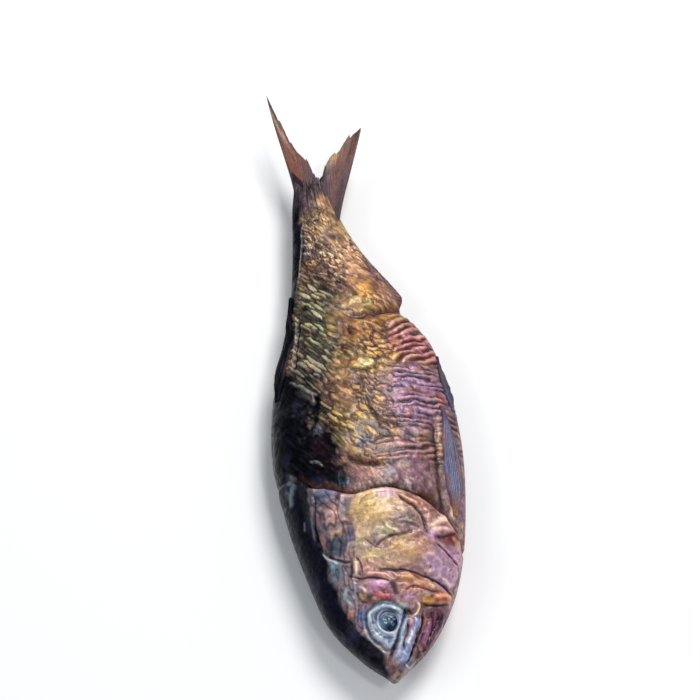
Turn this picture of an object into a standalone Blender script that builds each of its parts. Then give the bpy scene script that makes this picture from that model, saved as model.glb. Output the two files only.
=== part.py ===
"""A whole smoked fish, cured until its skin has dried on to the flesh.

It lies on its right side, as it lay on the smoking rack, on a flat patch under the belly. The snout points
to -Y, the back to -X, the belly to +X and the left flank up. The body, the head, the fins and the tail are
one piece.

Shapes are worked out in the fish's own measures, as shares of its standard length (the snout to the root of
the tail fin): station runs from 0 at the snout to 1 at the tail's root, height is across the flank, negative
towards the back and positive towards the belly, and side is up out of the flank from the fish's middle plane.
"""

import math

import bmesh
import bpy
from mathutils import Vector

STANDARD_LENGTH = 0.190
THICKNESS = 0.152  # of the body at its fattest
LYING_HEIGHT = 0.066  # of the middle plane above the rack, so that the lower flank is pressed flat
FIN_THICKNESS = 0.0065

RINGS_ALONG = 64
POINTS_AROUND = 56
HEAD_CROWDING, CROWDING_POWER = 0.86, 1.5  # how much closer the rings stand at the snout

# Outline of the flank: (station, height).
BACK = (
    (0.00, -0.004), (0.05, -0.054), (0.11, -0.095), (0.20, -0.122), (0.33, -0.147), (0.45, -0.156),
    (0.53, -0.148), (0.61, -0.130), (0.70, -0.101), (0.80, -0.078), (0.92, -0.060), (1.00, -0.050),
)
BELLY = (
    (0.00, 0.004), (0.05, 0.066), (0.12, 0.117), (0.20, 0.151), (0.30, 0.175), (0.42, 0.192),
    (0.53, 0.193), (0.62, 0.182), (0.67, 0.170), (0.70, 0.153), (0.73, 0.133), (0.79, 0.118),
    (0.89, 0.072), (0.95, 0.048), (1.00, 0.034),
)
# Thickness of the body as a share of the greatest one: (station, share).
FATNESS = (
    (0.00, 0.16), (0.05, 0.44), (0.12, 0.66), (0.20, 0.84), (0.32, 0.98), (0.45, 1.00),
    (0.58, 0.90), (0.70, 0.71), (0.82, 0.49), (0.92, 0.29), (1.00, 0.12),
)
ROUND_BACK = 0.50  # power of the cross-section, half a circle's at the back
SHARP_KEEL, KEEL_FROM = 0.22, -0.20  # added to it towards the belly's keel, and from where across
THIN_BELLY = 0.16  # share that the belly is thinner, and the back thicker, than the middle
SNOUT_BOW, SNOUT_BOW_FROM = 0.010, 0.30  # how far the snout has curled up off the rack, and from where
TAIL_BOW, TAIL_BOW_FROM, TAIL_BOW_REACH = 0.050, 0.62, 0.70

# Places on the flank are (station, height), and reaches from them are along and across.
EYE = (0.095, 0.001)
EYE_RADIUS = 0.0195
EYE_RISE = 0.0065
SOCKET_DEPTH, SOCKET_RING, SOCKET_WIDTH = 0.0025, 1.15, 0.25  # the last two as shares of the eye's radius
GILL_CENTRE = (0.213, 0.010)
GILL_REACH = (0.118, 0.118)
GILL_RISE = 0.010
CHEEK_CENTRE = (0.098, 0.030)
CHEEK_REACH = (0.086, 0.100)
CHEEK_RISE = 0.005
PLATE_RIM = (0.93, 1.06)  # where a plate's edge drops to the skin behind it, as shares of its reach
PLATE_SLOPE = (-0.9, 0.7)  # where it rises out of the head before it
MOUTH_TIP = (0.004, 0.006)
MOUTH_CORNER = (0.106, 0.068)
JAW_JOINT = (0.118, 0.112)
MOUTH_DEPTH = 0.006
MOUTH_FADE = 0.8  # share of the mouth's line from which it runs out
JAW_DEPTH = 0.003
MOUTH_WIDTH = 0.007
SHOULDER_STATION = 0.388  # the crease behind the shoulder girdle
SHOULDER_DEPTH, SHOULDER_WIDTH, SHOULDER_REACH = 0.006, 0.012, 0.08
HOLLOW = (0.50, -0.085)  # where the flank has sunk in below the back
HOLLOW_DEPTH, HOLLOW_REACH = 0.010, (0.07, 0.030)
VENT_FOLD = (0.727, 0.085)  # the fold that runs up the flank from the vent
VENT_DEPTH, VENT_WIDTH, VENT_REACH, VENT_LEAN = 0.008, 0.016, 0.055, 0.18
VENT_STATION, VENT_NOTCH, VENT_NOTCH_WIDTH = 0.735, 0.004, 0.012  # where and how far it nips the belly in
RELIEF_FADE = 0.02  # half thickness below which the features run out towards the back and the keel
FOLD_LENGTH = 0.070  # of the broad folds where the skin has shrunk round the flank, from one to the next
FOLD_RISE = 0.0016
FOLDS_BETWEEN = (0.46, 0.94)
FOLD_FADE = 0.08
FOLD_SLANT = 0.30

# The tail: each lobe's root, from outer ray to fork, and its torn free edge as (ray, station, height).
TAIL_BACK_ROOT = ((0.93, -0.054), (0.94, 0.004))
TAIL_BACK_EDGE = (
    (0.00, 1.290, -0.068), (0.25, 1.215, -0.046), (0.45, 1.150, -0.026), (0.60, 1.120, -0.006),
    (0.80, 1.085, 0.004), (1.00, 1.048, 0.014),
)
TAIL_BACK_WAIST = 0.012  # how far the outer ray is drawn in, the most a third of the way along
TAIL_BELLY_ROOT = ((0.93, 0.038), (0.94, 0.000))
TAIL_BELLY_EDGE = (
    (0.00, 1.175, 0.115), (0.20, 1.166, 0.092), (0.45, 1.135, 0.064), (0.65, 1.112, 0.038),
    (0.82, 1.085, 0.024), (1.00, 1.048, 0.014),
)
TAIL_BELLY_WAIST = -0.004
TAIL_TWIST = (0.5, 0.2)  # how fast the back and the belly lobe rise, along times across
TAIL_TEETH = (4, 3)
TAIL_STEPS = (12, 8)
WAIST_POWER = 0.6
TEAR = 0.05  # depth of the tears, as a share of a ray

# The fins folded flat on the flank: the middle of the root and the tip as (station, across), width and steps.
LAID_FINS = {
    "pectoral_fin": ((0.285, 0.87), (0.505, 0.83), 0.11, (6, 14)),
    "pelvic_fin": ((0.500, 0.92), (0.630, 0.93), 0.08, (5, 10)),
    "dorsal_fin": ((0.560, -0.90), (0.790, -0.91), 0.11, (6, 16)),
}
FIN_LIFT = 0.001
FIN_ROOT_TURN, FIN_TIP_TURN = 0.12, 0.92  # a laid fin is as broad as a half sine between these shares of it
ANAL_FIN_STATIONS = (0.748, 0.880)
ANAL_FIN_RISE = 0.017
ANAL_FIN_FRONT = (-0.02, 0.20)  # where along it the fin reaches its full height
ANAL_FIN_TAPER = 1.6
ANAL_FIN_ROOT = 0.022  # how deep its root is in the body
ANAL_FIN_STEPS = (14, 3)

SKIN_COLOUR = (0.26, 0.14, 0.08, 1)
SKIN_ROUGHNESS = 0.38
SKIN_METALLIC = 0.25


def smooth(start, end, value):
    """0 at the start, 1 at the end and an even ramp between."""
    share = min(1.0, max(0.0, (value - start) / (end - start)))
    return share * share * (3 - 2 * share)


def bump(value, centre, reach):
    """1 at the centre, fading to nothing a few reaches away."""
    return math.exp(-(((value - centre) / reach) ** 2))


def curve_at(points, at, column=1):
    """A smooth curve through points, each holding its place first and its value in a column."""
    at = min(points[-1][0], max(points[0][0], at))
    last = len(points) - 2
    i = next((k for k in range(last) if at <= points[k + 1][0]), last)
    before, start, end, after = (points[k] for k in (max(i - 1, 0), i, i + 1, min(i + 2, last + 1)))
    slope_in = (end[column] - before[column]) / (end[0] - before[0])
    slope_out = (after[column] - start[column]) / (after[0] - start[0])
    width = end[0] - start[0]
    t = (at - start[0]) / width
    return (
        (2 * t**3 - 3 * t**2 + 1) * start[column]
        + (t**3 - 2 * t**2 + t) * width * slope_in
        + (3 * t**2 - 2 * t**3) * end[column]
        + (t**3 - t**2) * width * slope_out
    )


def back_height(station):
    return curve_at(BACK, station)


def belly_height(station):
    return curve_at(BELLY, station) - VENT_NOTCH * bump(station, VENT_STATION, VENT_NOTCH_WIDTH)


def bow(station):
    """How far the dried fish curls up off the rack, at the snout and towards the tail."""
    ahead = max(0.0, (SNOUT_BOW_FROM - station) / SNOUT_BOW_FROM)
    behind = max(0.0, (station - TAIL_BOW_FROM) / TAIL_BOW_REACH)
    return SNOUT_BOW * ahead**2 + TAIL_BOW * behind**2


def placed(station, height, side):
    return STANDARD_LENGTH * Vector((height, station, side + bow(station) + LYING_HEIGHT))


def off_line(start, end, station, height):
    """(share along the line from start to end, distance from it)."""
    along = Vector(end) - Vector(start)
    point = Vector((station, height)) - Vector(start)
    share = min(1.0, max(0.0, point.dot(along) / along.length_squared))
    return share, (point - share * along).length


def plate_rise(centre, reach, rise, station, height):
    """A flat plate of skull bone that stands up at its rim behind and sinks into the head in front."""
    x = (station - centre[0]) / reach[0]
    y = (height - centre[1]) / reach[1]
    return rise * (1 - smooth(*PLATE_RIM, math.hypot(x, y))) * smooth(*PLATE_SLOPE, x)


def eye_rise(station, height):
    """The dried eyeball, domed out of a shallow socket."""
    off = math.hypot(station - EYE[0], height - EYE[1]) / EYE_RADIUS
    ball = EYE_RISE * math.sqrt(max(0.0, 1 - off * off))
    return ball - SOCKET_DEPTH * bump(off, SOCKET_RING, SOCKET_WIDTH)


def mouth_rise(station, height):
    """The line of the shut mouth, and the groove from its corner to the joint of the lower jaw."""
    share, off = off_line(MOUTH_TIP, MOUTH_CORNER, station, height)
    mouth = MOUTH_DEPTH * bump(off, 0, MOUTH_WIDTH) * smooth(1.0, MOUTH_FADE, share)
    jaw_off = off_line(MOUTH_CORNER, JAW_JOINT, station, height)[1]
    return -mouth - JAW_DEPTH * bump(jaw_off, 0, MOUTH_WIDTH)


def fold_rise(station, height):
    """Broad slanting folds where the skin has shrunk on to the flank."""
    wave = math.sin(2 * math.pi * (station + FOLD_SLANT * height) / FOLD_LENGTH)
    start, end = FOLDS_BETWEEN
    shown = smooth(start, start + FOLD_FADE, station) * smooth(end, end - FOLD_FADE, station)
    return FOLD_RISE * wave * shown


def dent_rise(station, height):
    """The crease behind the shoulder, the sunken flank below the back and the fold at the vent."""
    shoulder = bump(station, SHOULDER_STATION, SHOULDER_WIDTH) * bump(height, 0, SHOULDER_REACH)
    hollow = bump(station, HOLLOW[0], HOLLOW_REACH[0]) * bump(height, HOLLOW[1], HOLLOW_REACH[1])
    along_fold = station - VENT_LEAN * (height - VENT_FOLD[1])
    vent = bump(along_fold, VENT_FOLD[0], VENT_WIDTH) * bump(height, VENT_FOLD[1], VENT_REACH)
    return -SHOULDER_DEPTH * shoulder - HOLLOW_DEPTH * hollow - VENT_DEPTH * vent


def relief(station, height):
    """How far the features of the head and flank stand out of the smooth body."""
    gill = plate_rise(GILL_CENTRE, GILL_REACH, GILL_RISE, station, height)
    cheek = plate_rise(CHEEK_CENTRE, CHEEK_REACH, CHEEK_RISE, station, height)
    head = eye_rise(station, height) + mouth_rise(station, height) + gill + cheek
    return head + dent_rise(station, height) + fold_rise(station, height)


def half_thickness(station, across):
    """Of the smooth body, where across runs from -1 at the back to 1 at the belly's keel."""
    power = ROUND_BACK + SHARP_KEEL * smooth(KEEL_FROM, 1.0, across)
    section = max(0.0, 1 - across * across) ** power * (1 - THIN_BELLY * across)
    return 0.5 * THICKNESS * curve_at(FATNESS, station) * section


def flank_point(station, across, lift=0.0):
    """(height, side) of a point on the upper flank, lifted off the skin by a share of the standard length."""
    back, belly = back_height(station), belly_height(station)
    height = (back + belly) / 2 + across * (belly - back) / 2
    side = half_thickness(station, across)
    shown = smooth(0.0, RELIEF_FADE, side)
    return height, side + shown * relief(station, height) + lift


def shape_body(mesh):
    """A sphere with its poles at the snout and the tail's root, pulled out into the fish's body."""
    shape = bmesh.new()
    bmesh.ops.create_uvsphere(shape, u_segments=POINTS_AROUND, v_segments=RINGS_ALONG, radius=1)
    for vertex in shape.verts:
        ring = math.acos(max(-1.0, min(1.0, vertex.co.z))) / math.pi
        station = HEAD_CROWDING * ring**CROWDING_POWER + (1 - HEAD_CROWDING) * ring
        around = math.atan2(vertex.co.y, vertex.co.x)
        at_pole = math.hypot(vertex.co.x, vertex.co.y) < 1e-5
        across = 0.0 if at_pole else math.cos(around)
        height, side = flank_point(station, across)
        if at_pole or abs(math.sin(around)) < 1e-5:
            side = 0.0
        vertex.co = placed(station, height, math.copysign(side, math.sin(around)))
        vertex.co.z = max(vertex.co.z, 0.0)
    shape.to_mesh(mesh)
    shape.free()


def new_object(name, collection, parent, material):
    body = bpy.data.objects.new(name, bpy.data.meshes.new(name))
    body.data.materials.append(material)
    collection.objects.link(body)
    body.parent = parent
    return body


def fan(mesh, steps, point_of):
    """A fin's membrane as a grid of rays side by side, with point_of(ray, out) giving each point."""
    shape = bmesh.new()
    bmesh.ops.create_grid(shape, x_segments=steps[0], y_segments=steps[1], size=0.5)
    for vertex in shape.verts:
        vertex.co = point_of(vertex.co.x + 0.5, vertex.co.y + 0.5)
    shape.to_mesh(mesh)
    shape.free()


def tail_lobe(root, edge, waist, twist, teeth):
    """point_of for a lobe of the tail, whose rays fan from its root line out to its torn edge."""
    root_outer, root_fork = Vector(root[0]), Vector(root[1])

    def point(ray, out):
        end = Vector((curve_at(edge, ray, 1), curve_at(edge, ray, 2)))
        start = root_outer.lerp(root_fork, ray)
        tear = TEAR * math.sin(math.pi * teeth * ray) ** 2
        station, height = start.lerp(end, out * (1 - tear))
        height += waist * (1 - ray) * math.sin(math.pi * out**WAIST_POWER) ** 2
        return placed(station, height, twist * (station - root_outer.x) * height)

    return point


def laid_fin(root, tip, width):
    """point_of for a fin folded flat on the flank, from the middle of its root to its tip."""
    start, end = Vector(root), Vector(tip)

    def point(ray, out):
        station, across = start.lerp(end, out)
        turn = FIN_ROOT_TURN + (FIN_TIP_TURN - FIN_ROOT_TURN) * out
        across += width * math.sin(math.pi * turn) * (ray - 0.5)
        height, side = flank_point(station, across, FIN_LIFT)
        return placed(station, height, side)

    return point


def anal_fin_point(share, out):
    """The stub of the folded anal fin, highest just behind the vent and shrinking towards the tail."""
    start, end = ANAL_FIN_STATIONS
    station = start + (end - start) * share
    rise = ANAL_FIN_RISE * smooth(*ANAL_FIN_FRONT, share) * (1 - share) ** ANAL_FIN_TAPER
    height = belly_height(station) - ANAL_FIN_ROOT + (ANAL_FIN_ROOT + rise) * out
    return placed(station, height, 0.0)


def add_fin(name, steps, point_of, parent, collection, material):
    fin = new_object(name, collection, parent, material)
    fan(fin.data, steps, point_of)
    shell = fin.modifiers.new("thickness", "SOLIDIFY")
    shell.thickness = FIN_THICKNESS * STANDARD_LENGTH
    shell.offset = 0.0
    fin.hide_render = True
    fin.display_type = "WIRE"
    return fin


def add_fins(parent, collection, material):
    """The tail's two lobes and the folded fins, each a thin shell that is joined to the body."""
    back_lobe = tail_lobe(
        TAIL_BACK_ROOT, TAIL_BACK_EDGE, TAIL_BACK_WAIST, TAIL_TWIST[0], TAIL_TEETH[0],
    )
    belly_lobe = tail_lobe(
        TAIL_BELLY_ROOT, TAIL_BELLY_EDGE, TAIL_BELLY_WAIST, TAIL_TWIST[1], TAIL_TEETH[1],
    )
    fins = [
        add_fin("tail_back_lobe", TAIL_STEPS, back_lobe, parent, collection, material),
        add_fin("tail_belly_lobe", TAIL_STEPS, belly_lobe, parent, collection, material),
        add_fin("anal_fin", ANAL_FIN_STEPS, anal_fin_point, parent, collection, material),
    ]
    for name, (root, tip, width, steps) in LAID_FINS.items():
        fins.append(add_fin(name, steps, laid_fin(root, tip, width), parent, collection, material))
    return fins


def skin_material():
    material = bpy.data.materials.new("smoked skin")
    material.use_nodes = True
    surface = material.node_tree.nodes["Principled BSDF"]
    surface.inputs["Base Color"].default_value = SKIN_COLOUR
    surface.inputs["Roughness"].default_value = SKIN_ROUGHNESS
    surface.inputs["Metallic"].default_value = SKIN_METALLIC
    return material


def centre_on_rack(fish, origin):
    """Moves the origin so that the fish's box is centred over it and its lowest point is at height 0."""
    bpy.context.view_layer.update()
    evaluated = fish.evaluated_get(bpy.context.evaluated_depsgraph_get())
    corners = [evaluated.matrix_world @ Vector(corner) for corner in evaluated.bound_box]
    low = [min(corner[axis] for corner in corners) for axis in range(3)]
    high = [max(corner[axis] for corner in corners) for axis in range(3)]
    origin.location = (-(low[0] + high[0]) / 2, -(low[1] + high[1]) / 2, -low[2])


def new_collection(name):
    collection = bpy.data.collections.new(name)
    bpy.context.scene.collection.children.link(collection)
    return collection


def main():
    for old in list(bpy.data.objects):
        bpy.data.objects.remove(old)
    parts = new_collection("smoked fish")
    joined = new_collection("fins joined to the body")
    origin = bpy.data.objects.new("fish origin", None)
    parts.objects.link(origin)
    skin = skin_material()
    fish = new_object("smoked_fish", parts, origin, skin)
    shape_body(fish.data)
    for fin in add_fins(origin, joined, skin):
        join = fish.modifiers.new(fin.name, "BOOLEAN")
        join.operation = "UNION"
        join.object = fin
    fish.data.shade_smooth()
    centre_on_rack(fish, origin)


main()
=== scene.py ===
"""The looks of a smoked fish that lies on its right side: shrunken skin, bony head, folded fins, torn tail.

Shapes are worked out in the fish's own measures, as shares of its standard length. Station runs from 0 at
the snout to 1 at the tail's root. Height is across the flank, negative towards the back and positive towards
the belly. Side is up out of the flank from the fish's middle plane. The frame's box says where that is in
metres. Across runs over the flank from -1 at the back's edge to 1 at the belly's keel.
"""

import itertools
import math

import bpy
import numpy as np
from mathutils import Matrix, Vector


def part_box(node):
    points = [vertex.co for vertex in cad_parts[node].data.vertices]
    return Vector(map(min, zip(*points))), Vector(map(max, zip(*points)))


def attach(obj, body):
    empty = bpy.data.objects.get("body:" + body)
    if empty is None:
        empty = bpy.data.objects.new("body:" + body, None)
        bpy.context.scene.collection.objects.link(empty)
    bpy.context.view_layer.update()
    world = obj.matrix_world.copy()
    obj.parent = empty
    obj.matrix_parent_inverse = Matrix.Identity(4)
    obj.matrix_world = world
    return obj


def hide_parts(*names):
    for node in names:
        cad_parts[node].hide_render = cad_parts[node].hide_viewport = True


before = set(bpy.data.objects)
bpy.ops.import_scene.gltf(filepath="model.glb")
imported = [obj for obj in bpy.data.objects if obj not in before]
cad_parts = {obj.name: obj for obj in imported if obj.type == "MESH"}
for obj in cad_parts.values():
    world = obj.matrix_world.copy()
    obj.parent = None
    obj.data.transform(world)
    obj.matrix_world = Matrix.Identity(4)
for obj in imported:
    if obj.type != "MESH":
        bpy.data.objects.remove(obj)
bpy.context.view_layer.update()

NODE = "smoked_fish"
BODY = "root"

# The body's shape, as the CAD solid has it.
BACK = (
    (0.00, -0.004), (0.05, -0.054), (0.11, -0.095), (0.20, -0.122), (0.33, -0.147), (0.45, -0.156),
    (0.53, -0.148), (0.61, -0.130), (0.70, -0.101), (0.80, -0.078), (0.92, -0.060), (1.00, -0.050),
    (1.05, -0.040),
)
BELLY = (
    (0.00, 0.004), (0.05, 0.066), (0.12, 0.117), (0.20, 0.151), (0.30, 0.175), (0.42, 0.192),
    (0.53, 0.193), (0.62, 0.182), (0.67, 0.170), (0.70, 0.153), (0.73, 0.133), (0.79, 0.118),
    (0.89, 0.072), (0.95, 0.048), (1.00, 0.034), (1.05, 0.024),
)
FATNESS = (
    (0.00, 0.16), (0.05, 0.44), (0.12, 0.66), (0.20, 0.84), (0.32, 0.98), (0.45, 1.00),
    (0.58, 0.90), (0.70, 0.71), (0.82, 0.49), (0.92, 0.29), (1.00, 0.14), (1.05, 0.05),
)
THICKNESS = 0.152
LYING_HEIGHT = 0.066
ROUND_BACK = 0.50
SHARP_KEEL = 0.22
THIN_BELLY = 0.16
SNOUT_BOW, SNOUT_BOW_FROM = 0.010, 0.30
TAIL_BOW, TAIL_BOW_FROM, TAIL_BOW_REACH = 0.050, 0.62, 0.70
VENT_STATION = 0.735
VENT_NOTCH, VENT_NOTCH_WIDTH = 0.004, 0.012
LONGEST_STATION = 1.2903  # the tip of the tail's longer lobe
BODY_END = 1.045  # where the scaly skin runs out between the tail's lobes

# The tables of lines, plates and patches hold whole numbers: places and reaches in thousandths of the
# standard length, and the widths and rises of the relief in tenths of that.
PLACES_PER_LENGTH = 1000
RELIEF_PER_LENGTH = 10000

# How finely the skin, the eyes, the tail's lobes, the folded fins and the stub of a fin are meshed.
HEAD_RINGS, TRUNK_RINGS = 250, 310
SHOWN_POINTS, UNDER_POINTS = 240, 76
HALF_HEIGHT, HALF_THICKNESS = 0.172, 0.070  # of the section that its points are spread over
EYE_RINGS, EYE_POINTS = 26, 56
RAYS, RAY_STEPS = 96, 120
FIN_STEPS, FIN_POINTS = 110, 56
STUB_STEPS, STUB_POINTS = 90, 26

low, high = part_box(NODE)
LENGTH = (high.y - low.y) / LONGEST_STATION  # standard length in metres


def srgb(red, green, blue):
    """A colour given from 0 to 255 as it looks on a screen, as the linear values that a shader takes."""
    shown = np.array((red, green, blue)) / 255
    return np.where(shown <= 0.04045, shown / 12.92, ((shown + 0.055) / 1.055) ** 2.4)


def smooth(start, end, value):
    """0 at start, 1 at end and an even ramp between."""
    share = np.clip((value - start) / (end - start), 0, 1)
    return share * share * (3 - 2 * share)


def bump(value, centre, reach):
    """1 at the centre, fading to nothing a few reaches away."""
    return np.exp(-(((value - centre) / reach) ** 2))


def curve(points, at, column=1):
    """A smooth curve through points: each holds its place first, and its value in a column."""
    table = np.array(points, float)
    place, value = table[:, 0], table[:, column]
    before = np.maximum(np.arange(len(place)) - 1, 0)
    after = np.minimum(np.arange(len(place)) + 1, len(place) - 1)
    slope = (value[after] - value[before]) / (place[after] - place[before])
    at = np.clip(at, place[0], place[-1])
    i = np.clip(np.searchsorted(place, at, side="right") - 1, 0, len(place) - 2)
    width = place[i + 1] - place[i]
    t = (at - place[i]) / width
    return (
        (2 * t**3 - 3 * t**2 + 1) * value[i]
        + (t**3 - 2 * t**2 + t) * width * slope[i]
        + (3 * t**2 - 2 * t**3) * value[i + 1]
        + (t**3 - t**2) * width * slope[i + 1]
    )


def noise(place, seed):
    """Gradient noise, about -1 to 1, at points of shape (..., 3), on a lattice one unit wide."""
    dice = np.random.default_rng(seed)
    shuffled = dice.permutation(256)
    slopes = dice.normal(size=(256, 3))
    slopes /= np.linalg.norm(slopes, axis=1, keepdims=True)
    cell = np.floor(place).astype(int)
    inner = place - cell
    ease = inner**3 * (inner * (inner * 6 - 15) + 10)
    total = np.zeros(place.shape[:-1])
    for corner in itertools.product((0, 1), repeat=3):
        x, y, z = (cell[..., axis] + corner[axis] for axis in range(3))
        slope = slopes[shuffled[(shuffled[(shuffled[x & 255] + y) & 255] + z) & 255]]
        weight = np.prod(np.where(np.array(corner) == 1, ease, 1 - ease), axis=-1)
        total += weight * np.sum(slope * (inner - np.array(corner)), axis=-1)
    return 1.6 * total


def rough_noise(place, seed):
    """Noise with finer noise on top of it."""
    return noise(place, seed) + 0.5 * noise(place * 2, seed + 1)


def back_height(station):
    """Of the back's edge."""
    return curve(BACK, station)


def belly_height(station):
    """Of the belly's keel, with a notch at the vent."""
    return curve(BELLY, station) - VENT_NOTCH * bump(station, VENT_STATION, VENT_NOTCH_WIDTH)


def bow(station):
    """How far the dried fish curls up, at the snout and towards the tail."""
    ahead = np.maximum(0, (SNOUT_BOW_FROM - station) / SNOUT_BOW_FROM)
    behind = np.maximum(0, (station - TAIL_BOW_FROM) / TAIL_BOW_REACH)
    return SNOUT_BOW * ahead**2 + TAIL_BOW * behind**2


BACK_EDGE = back_height(np.linspace(0, 1, 400)).min()


def placed(station, height, side):
    """The points in metres, in the frame, as an array with a last axis of 3."""
    x = low.x + LENGTH * (height - BACK_EDGE)
    y = low.y + LENGTH * station
    z = LENGTH * (side + bow(station) + LYING_HEIGHT)
    return np.stack(np.broadcast_arrays(x, y, z), axis=-1)


def half_thickness(station, across):
    """Of the smooth body, where across runs from -1 at the back to 1 at the belly's keel."""
    power = ROUND_BACK + SHARP_KEEL * smooth(-0.2, 1.0, across)
    section = np.maximum(0, 1 - across * across) ** power * (1 - THIN_BELLY * across)
    return 0.5 * THICKNESS * curve(FATNESS, station) * section


def height_at(station, across):
    """The height of a place between the back's edge and the belly's keel."""
    back, belly = back_height(station), belly_height(station)
    return (back + belly) / 2 + across * (belly - back) / 2


# ---- Lines and plates drawn on the flank ----


def path_points(path, closed=False, between=5):
    """A smooth line through the path's (station, height) points, with some points added between each two."""
    points = np.array(path) / PLACES_PER_LENGTH
    if closed:
        points = np.vstack([points[-1], points, points[0], points[1]])
    else:
        points = np.vstack([2 * points[0] - points[1], points, 2 * points[-1] - points[-2]])
    line = []
    for i in range(1, len(points) - 2):
        p0, p1, p2, p3 = points[i - 1 : i + 3]
        for t in np.arange(between) / between:
            line.append(
                0.5 * (2 * p1 + (p2 - p0) * t + (2 * p0 - 5 * p1 + 4 * p2 - p3) * t**2
                + (3 * p1 - p0 - 3 * p2 + p3) * t**3)
            )
    return np.array(line + [points[-2]])


def off_path(path, station, height, closed=False):
    """(distance from the smooth line through path, share along it) at each point."""
    line = path_points(path, closed)
    nearest = np.full(station.shape, 9.0)
    share = np.zeros(station.shape)
    for i in range(len(line) - 1):
        along = line[i + 1] - line[i]
        x, y = station - line[i][0], height - line[i][1]
        t = np.clip((x * along[0] + y * along[1]) / max(along @ along, 1e-12), 0, 1)
        off = np.hypot(x - t * along[0], y - t * along[1])
        share = np.where(off < nearest, (i + t) / (len(line) - 1), share)
        nearest = np.minimum(nearest, off)
    return nearest, share


def inside(path, station, height):
    """How far each point is inside the closed smooth outline, negative outside."""
    line = path_points(path, closed=True)
    within = np.zeros(station.shape, bool)
    for start, end in zip(line[:-1], line[1:]):
        if start[1] == end[1]:
            continue
        crosses = (start[1] > height) != (end[1] > height)
        at = start[0] + (height - start[1]) * (end[0] - start[0]) / (end[1] - start[1])
        within ^= crosses & (station < at)
    off = off_path(path, station, height, closed=True)[0]
    return np.where(within, off, -off)


# The gill cover's free edge: (across, station).
RIM = (
    (-1.00, 0.400), (-0.85, 0.394), (-0.76, 0.374), (-0.67, 0.352), (-0.50, 0.341), (-0.28, 0.325),
    (-0.06, 0.329), (0.10, 0.331), (0.25, 0.325), (0.38, 0.316), (0.50, 0.304), (0.62, 0.288),
    (0.75, 0.268), (0.87, 0.246), (1.00, 0.230),
)
LIP_RISE = 0.0105  # of the free edge over the shoulder
LIP_TURN = ((0.0045, 0.0), (0.0170, 0.012), (0.0260, 0.050))  # how far its last rings dip and run back
PRESSED_ROUND = 0.0005  # in metres
TUCK = 0.0060  # how far each of the two skins dips under the other where no edge shows
OVERLAP = 0.075  # of the trunk's skin under the head's
# Hollows get painted shade and crests painted highlights, by how far they lie below or above the average
# of the skin round them, this many points away.
SHADE_REACH = 4
HEAD_SHADE_DEPTH, TRUNK_SHADE_DEPTH = 0.0042, 0.0050

# The bones of the head: outline of (station, height), rise at its edge, width of the edge and doming.
PLATES = (
    # The gold bone of the gill cover.
    (((318, -24), (328, 4), (328, 36), (310, 54), (293, 69), (270, 84), (246, 86),
      (236, 50), (250, 10), (240, -30), (290, -36)), 30, 50, 40),
    # The bone under it, from the second gold patch to the mauve corner.
    (((244, 62), (240, 90), (214, 112), (186, 130), (150, 122), (166, 92),
      (184, 60), (190, 10), (222, 18)), 30, 60, 30),
    # The cheek between the eye and the gill cover.
    (((176, -30), (180, 10), (174, 60), (158, 88), (136, 112), (122, 100),
      (118, 62), (130, 30), (136, -10), (150, -34)), 20, 50, 24),
    # The pink patch and the grey hollow beside the gold bone.
    (((310, -78), (318, -52), (286, -44), (258, -48), (254, -70), (276, -86)), 14, 60, 14),
    (((252, -82), (258, -44), (222, -36), (202, -52), (214, -78)), -16, 60, -14),
    # The ridge of the brow.
    (((186, -78), (190, -58), (150, -44), (120, -50), (104, -70), (140, -80)), 16, 60, 14),
)
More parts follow.
